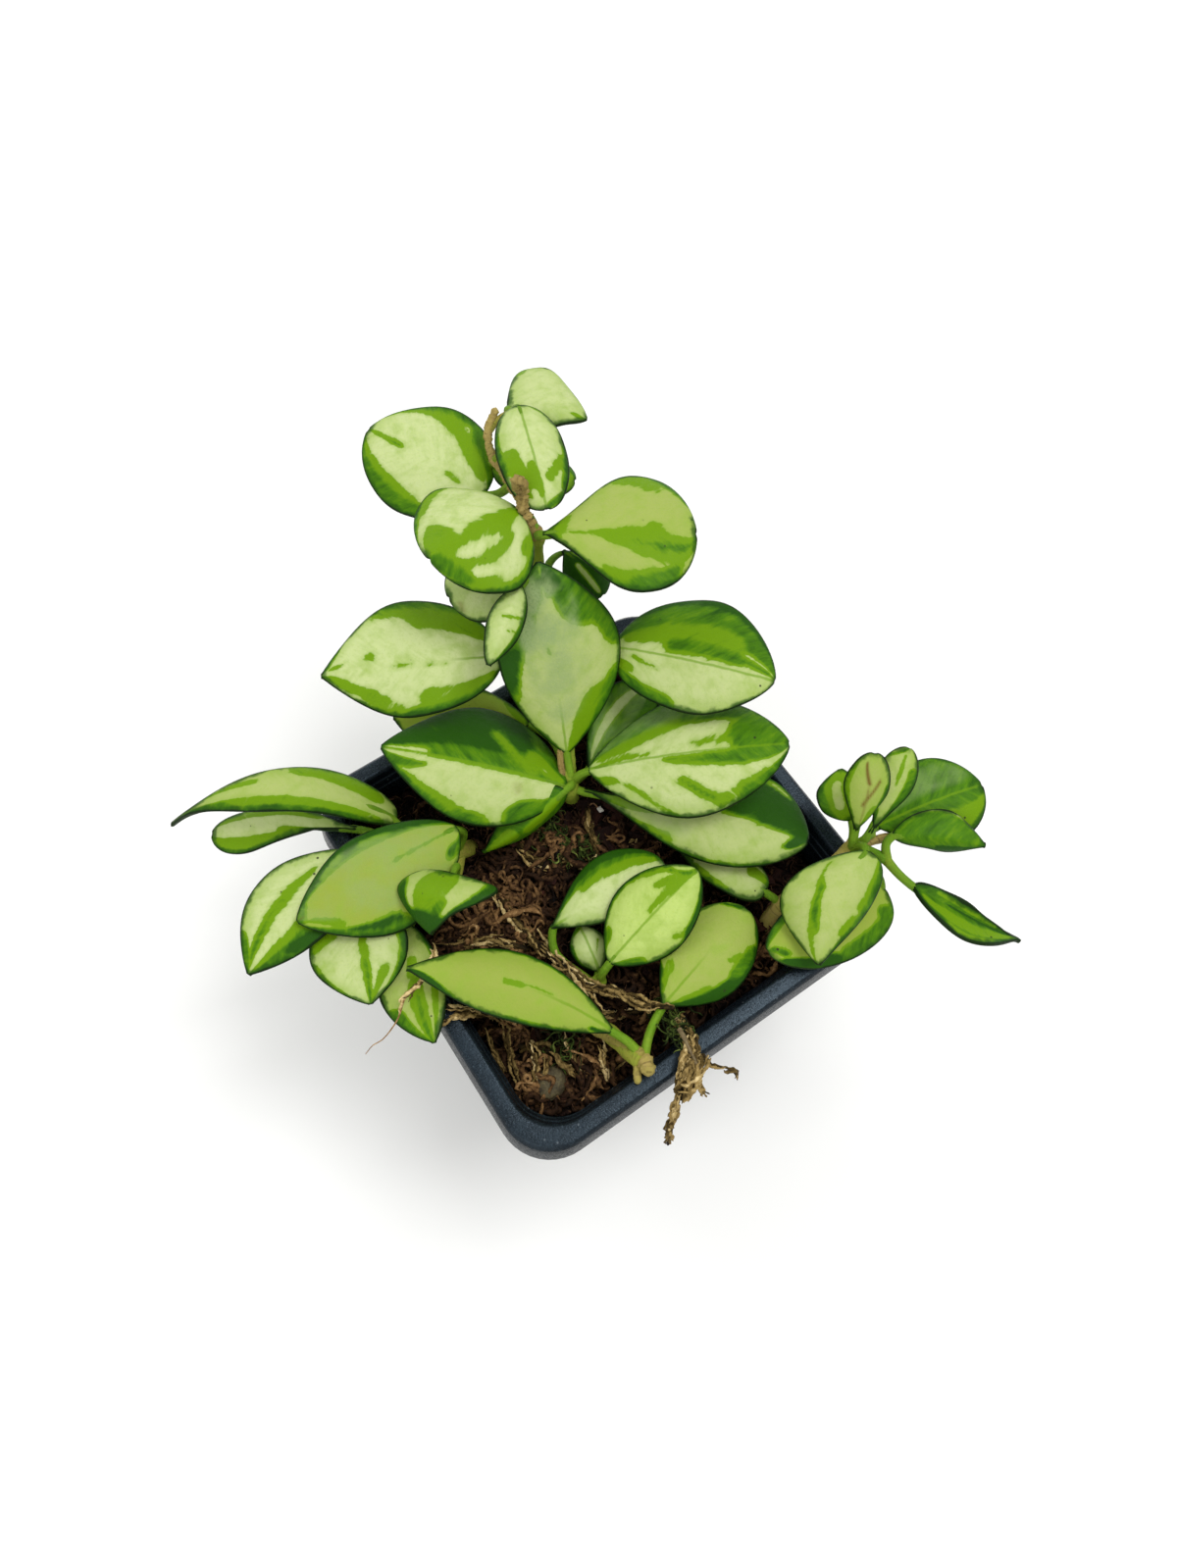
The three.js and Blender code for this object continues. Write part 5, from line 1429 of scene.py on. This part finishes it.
        ring = (wide[:, :, None] * np.cos(angles)[:, None] * 1.3
                + flat[:, :, None] * np.sin(angles)[:, None] * 0.65)
        ring = ring * (1 + rough * draw.uniform(-1, 1, (count, rings, sides, 1)))
        points = (path[:, :, None] + ring * thick[:, :, None, None]).reshape(-1, 3)
        faces = []
        for fibre in range(count):
            base = fibre * rings * sides
            last = base + (rings - 1) * sides
            faces.append(tuple(base + j for j in range(sides)))
            faces.append(tuple(last + j for j in reversed(range(sides))))
            for i in range(rings - 1):
                low = base + i * sides
                for j in range(sides):
                    k = (j + 1) % sides
                    faces.append((low + k, low + j, low + sides + j, low + sides + k))
        piece = mesh_piece(name, points, faces)
        along = np.broadcast_to((share * size)[:, :, None], (count, rings, sides)).ravel()
        seeds = np.repeat(np.arange(count) * 1.37, rings * sides)
        write_vectors(piece, "place", np.column_stack([along, np.zeros_like(along), seeds]))
        write_tones(piece, np.repeat(tones, rings * sides))
        return piece

    def _scatter(self, draw: np.random.Generator, count: int) -> np.ndarray:
        """Returns places spread over the surface."""
        half = self.pot.inner_half(self.top) - 1.2
        x, y = self._inside(draw.uniform(-half, half, count), draw.uniform(-half, half, count), half)
        return np.column_stack([x, y, self.height(x, y)])

    def _hair(self, moss: bpy.types.Material) -> None:
        """Lets one fine dry root hair hang from the left shoot."""
        route = [(-52.8, -5.8, 92), (-56, -8.3, 91), (-60.6, -9.6, 89), (-63, -9.3, 88), (-65.1, -9.8, 87)]
        path = curve_through(route, 0.7)
        tubes = Tubes()
        tubes.add(path, np.linspace(0.2, 0.09, len(path)), sides=5, tone=0.75, seed=5.0, rough=0.15)
        finish_piece(tubes.build("root_hair"), moss)

    def _thicket(self, draw: np.random.Generator) -> np.ndarray:
        """Returns places heaped up where the moss is thick."""
        rows = []
        half = self.pot.inner_half(self.top) - 1.6
        for x, y, spread, count in self.thickets:
            away = draw.normal(0, 1, (count, 2))
            px, py = self._inside(x + away[:, 0] * spread, y + away[:, 1] * spread, half)
            heap = 3.2 * np.exp(-np.sum(away ** 2, axis=1) / 2) * draw.uniform(0, 1, count)
            rows.append(np.column_stack([px, py, self.height(px, py) + heap]))
        return np.vstack(rows)

    def _litter(self) -> None:
        """Strews dark coir, curled brown moss and green moss over the surface."""
        draw = np.random.default_rng(23)
        coir = FibreFinish("coir_fibre", "0C0604", "2C1A12", "5E432F", "94714F").build()
        starts = self._scatter(draw, self.coir_count)
        starts[:, 2] += 0.15
        turns = draw.uniform(0, FULL_TURN, self.coir_count)
        tones = draw.beta(2.0, 2.6, self.coir_count)
        piece = self._fibres("coir_litter", starts, turns, draw, length=(2.5, 9.0), radius=(0.1, 0.24),
                             curl=0.9, lift=1.8, twist=0.0, tones=tones)
        finish_piece(piece, coir)
        moss = FibreFinish("dry_moss", "060302", "382312", "88663E", "D0AE7C").build()
        starts = self._scatter(draw, self.moss_count)
        starts[:, 2] += draw.uniform(0.0, 0.8, self.moss_count)
        turns = draw.uniform(0, FULL_TURN, self.moss_count)
        tones = 0.5 * draw.beta(2.0, 2.4, self.moss_count)
        piece = self._fibres("moss_litter", starts, turns, draw, length=(2.0, 6.5), radius=(0.2, 0.45),
                             curl=2.4, lift=1.5, twist=1.6, tones=tones)
        finish_piece(piece, moss)
        starts = self._thicket(draw)
        # Strands are painted lighter the higher they stand over the bed, and darker low down: painted shade
        # deep in the tangle.
        rise = starts[:, 2] - self.height(*starts[:, :2].T)
        tones = 0.4 * draw.beta(2.0, 2.0, len(starts)) + 0.16 * rise
        turns = draw.uniform(0, FULL_TURN, len(starts))
        piece = self._fibres("moss_strands", starts, turns, draw, length=(5.0, 15.0), radius=(0.38, 0.72),
                             curl=1.7, lift=2.2, twist=0.7, tones=tones, rings=19, rough=0.42)
        finish_piece(piece, moss)
        self._ropes()
        self._hair(moss)
        self._green(draw)

    def _green(self, draw: np.random.Generator) -> None:
        """Sets live green moss between the dry strands."""
        rows = []
        for x, y, z, spread, count in self.green_tufts:
            away = draw.normal(0, spread, (count, 3)) * (1.0, 1.0, 0.35)
            rows.append(np.array((x, y, z)) + away)
        starts = np.vstack(rows)
        finish = FibreFinish("green_moss", "0F1406", "26310F", "47591F", "79863F").build()
        turns = draw.uniform(0, FULL_TURN, len(starts))
        tones = draw.beta(2.0, 2.2, len(starts))
        piece = self._fibres("green_moss", starts, turns, draw, length=(2.5, 7.0), radius=(0.12, 0.26),
                             curl=1.6, lift=2.0, twist=1.0, tones=tones, rings=11, rough=0.2)
        finish_piece(piece, finish)

    def _bundle(self, tubes: Tubes, draw: np.random.Generator, route: list, spread: float, count: int,
                radius: tuple[float, float], longest: int = 30) -> None:
        """Winds ragged strands of moss along a route.

        Args:
            tubes: gathers the strands.
            draw: the seeded random draws.
            route: places that the bundle passes.
            spread: how far the strands stray from it.
            count: number of strands.
            radius: thinnest and thickest strand.
            longest: most sections of a strand.
        """
        path = curve_through(route, 0.55)
        heading = np.gradient(path, axis=0)
        side = np.column_stack([-heading[:, 1], heading[:, 0], np.full(len(path), 1e-6)])
        side /= np.linalg.norm(side, axis=1, keepdims=True)
        rise = np.cross(heading, side)
        rise /= np.linalg.norm(rise, axis=1, keepdims=True)
        for _ in range(count):
            size = int(draw.integers(min(8, len(path)), min(longest, len(path)) + 1))
            first = int(draw.integers(0, len(path) - size + 1))
            part = slice(first, first + size)
            turn = (draw.uniform(0, FULL_TURN) + np.linspace(0, draw.normal(0, 2.0), size))[:, None]
            out = spread * draw.uniform(0.15, 1.0)
            stray = np.cumsum(draw.normal(0, 0.2, (size, 3)), axis=0)
            stray -= stray.mean(axis=0)
            line = path[part] + out * (side[part] * np.cos(turn) + rise[part] * np.sin(turn)) + stray
            girth = draw.uniform(*radius) * (1 - 0.75 * np.abs(np.linspace(-1, 1, size)) ** 3)
            tone = 0.2 + 0.8 * draw.beta(2.0, 1.8)
            tubes.add(line, girth, sides=6, tone=tone, seed=draw.uniform(0, 90), rough=0.45)

    def _ropes(self) -> None:
        """Bundles long strands of moss on the surface, over the rim and in loose strings."""
        draw = np.random.default_rng(37)
        golden = FibreFinish("golden_moss", "120C04", "4C3C1A", "9E8550", "E0C890").build()
        tubes = Tubes()
        for ropes, longest in ((self.strands, 24), (self.tuft, 15)):
            for spread, count, route in ropes:
                path = curve_through(route, 0.5)
                # A dark core tube runs inside each rope as painted shade between its strands.
                shade_core = np.full(len(path), 0.45 * spread)
                shade_core[[0, -1]] *= 0.4
                tubes.add(path, shade_core, sides=6, tone=0.12, seed=spread, rough=0.3)
                self._bundle(tubes, draw, route, spread, count, (0.22, 0.5), longest)
        for route in self.strings:
            self._bundle(tubes, draw, route, spread=0.35, count=5, radius=(0.22, 0.42))
        finish_piece(tubes.build("moss_ropes"), golden)
        twig = Tubes()
        path = curve_through([(-8.3, -42, 88.4), (-8.9, -46, 89.2), (-9.8, -51, 88.6)], 0.5)
        twig.add(path, np.linspace(0.6, 0.4, len(path)), sides=6, tone=0.55, seed=4.0, rough=0.12)
        bark = FibreFinish("twig_bark", "2E2618", "5E5038", "877757", "A39372").build()
        finish_piece(twig.build("dry_twig"), bark)

    def _chips(self) -> None:
        """Lays dark bark chips and one white crumb on the surface."""
        draw = np.random.default_rng(53)
        corners = np.array([(x, y, z) for x in (-1, 1) for y in (-1, 1) for z in (-1, 1)], float)
        sides = [(0, 1, 3, 2), (4, 6, 7, 5), (0, 4, 5, 1), (2, 3, 7, 6), (0, 2, 6, 4), (1, 5, 7, 3)]
        dark = draw.normal((8, 8), (6, 6), (34, 2))
        spots = np.vstack([dark, draw.uniform(-40, 40, (60, 2)), [(8.5, 11.2)]])
        points, faces, tones = [], [], []
        for index, (x, y) in enumerate(spots):
            white = index == len(spots) - 1
            size = np.array((0.7, 0.6, 0.5)) if white else draw.uniform((1.2, 0.8, 0.5), (3.4, 2.2, 1.1))
            turn = Matrix.Rotation(draw.uniform(0, FULL_TURN), 3, "Z")
            turn = turn @ Matrix.Rotation(draw.normal(0, 0.3), 3, "X")
            block = (corners + draw.uniform(-0.35, 0.35, (8, 3))) * size
            place = np.array((x, y, self.height(np.array(x), np.array(y)) + (1.5 if white else 0.5)))
            faces.extend(tuple(8 * index + corner for corner in side) for side in sides)
            points.append(block @ np.array(turn).T + place)
            tones.extend([1.2 if white else draw.uniform(0.1, 0.6)] * 8)
        piece = mesh_piece("bark_chips", np.vstack(points), faces)
        write_tones(piece, np.array(tones))
        edge = piece.modifiers.new("edge", "BEVEL")
        edge.width = 0.25 * MM
        edge.segments = 2
        apply_modifiers(piece)
        finish_piece(piece, FibreFinish("bark", "120906", "2E1710", "4A281A", "D8D4C8").build())

    def build(self) -> None:
        """Makes the bed, which stands for its node, and all that lies on it."""
        bed = self._body()
        finish_piece(bed, SoilFinish().build())
        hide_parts("growing_medium")
        self._litter()
        self._chips()


@dataclass
class Pebble:
    """Worn stone that rests in the front corner."""

    place: tuple[float, float, float] = (-36.0, -35.0, 76.6)
    half_sizes: tuple[float, float, float] = (4.0, 3.2, 2.4)
    turn: float = 0.5

    def build(self) -> None:
        """Makes the stone, which stands for its node."""
        deselect_all()
        bpy.ops.mesh.primitive_ico_sphere_add(subdivisions=5, radius=1.0)
        piece = fresh("corner_pebble")
        ball = read_points(piece)
        broad = np.sin(ball[:, 0] * 3.1 + 1) * np.cos(ball[:, 1] * 2.7)
        dent = 1 - 0.035 * (1 + broad + 0.5 * np.sin(ball[:, 2] * 6))
        cos, sin = math.cos(self.turn), math.sin(self.turn)
        spin = np.array([[cos, sin, 0], [-sin, cos, 0], [0, 0, 1]])
        points = (ball * dent[:, None] * np.array(self.half_sizes)) @ spin + np.array(self.place)
        write_points(piece, points)
        piece.data.shade_smooth()
        finish_piece(piece, StoneFinish().build())
        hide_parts("pebble")


# Floor, light and camera


@dataclass
class Studio:
    """Pale floor, soft light and the camera that looks down on the near corner."""

    camera_place: tuple[float, float, float] = (-0.0467, -0.0586, 0.30413)
    right: tuple[float, float, float] = (0.8284, -0.56, 0.0165)
    up: tuple[float, float, float] = (0.5111, 0.7675, 0.3869)
    back: tuple[float, float, float] = (-0.2293, -0.3121, 0.922)
    lens: float = 23.41
    aim: tuple[float, float, float] = (0.0, 0.0, 0.09)
    air: float = 0.62
    lights: tuple = (
        ("overhead", (0.44, -0.14, 1.25), 0.55, 8.0),
        ("left_fill", (-0.9, -0.5, 0.9), 1.0, 4.5),
        ("back_fill", (-0.1, 1.1, 0.8), 0.9, 4.0),
    )

    def _camera(self) -> None:
        """Places the camera at the photograph's viewing angle."""
        data = bpy.data.cameras.new("camera")
        data.lens = self.lens
        data.sensor_width = 36.0
        data.clip_start = 0.01
        camera = add_object("camera", data)
        turn = Matrix((self.right, self.up, self.back)).transposed()
        camera.matrix_world = Matrix.Translation(self.camera_place) @ turn.to_4x4()
        bpy.context.scene.camera = camera

    def _softbox(self, name: str, place: tuple[float, float, float], side: float, power: float) -> None:
        """Hangs a square light that faces the plant."""
        data = bpy.data.lights.new(name, "AREA")
        data.size = side
        data.energy = power
        light = add_object(name, data)
        light.location = place
        heading = Vector(self.aim) - light.location
        light.rotation_euler = heading.to_track_quat("-Z", "Y").to_euler()

    def build(self) -> None:
        """Makes the floor, the lights and the camera."""
        self._camera()
        deselect_all()
        bpy.ops.mesh.primitive_plane_add(size=6.0, location=(0.0, 0.0, -0.0002))
        floor = fresh("floor")
        floor.data.materials.append(FloorFinish().build())
        for light in self.lights:
            self._softbox(*light)
        world = bpy.data.worlds.new("studio_air")
        world.use_nodes = True
        background = world.node_tree.nodes["Background"]
        background.inputs["Color"].default_value = (1.0, 1.0, 1.0, 1.0)
        background.inputs["Strength"].default_value = self.air
        bpy.context.scene.world = world
        bpy.context.scene.view_settings.view_transform = "Standard"


def main() -> None:
    """Builds every part of the scene."""
    Studio().build()
    pot = Pot()
    pot.build()
    Medium(pot).build()
    Pebble().build()
    upper = LeafFinish("leaf_upper").build()
    lower = LeafFinish("leaf_under", pale="A9B880", olive="97A562", sunny="A9B670", tinged="8DA459",
                       lime="789640", green="587B38", dark="3F612B", margin="2A4222", shine=0.55,
                       contrast=0.6).build()
    skins = Skins(upper, lower, StemFinish().build())
    for shoot in (tall_vine(), left_vine(), front_shoot(), middle_shoot(), right_vine()):
        shoot.build(skins)


if __name__ == "__main__":
    logging.basicConfig(level=logging.INFO, format="%(message)s")
    main()
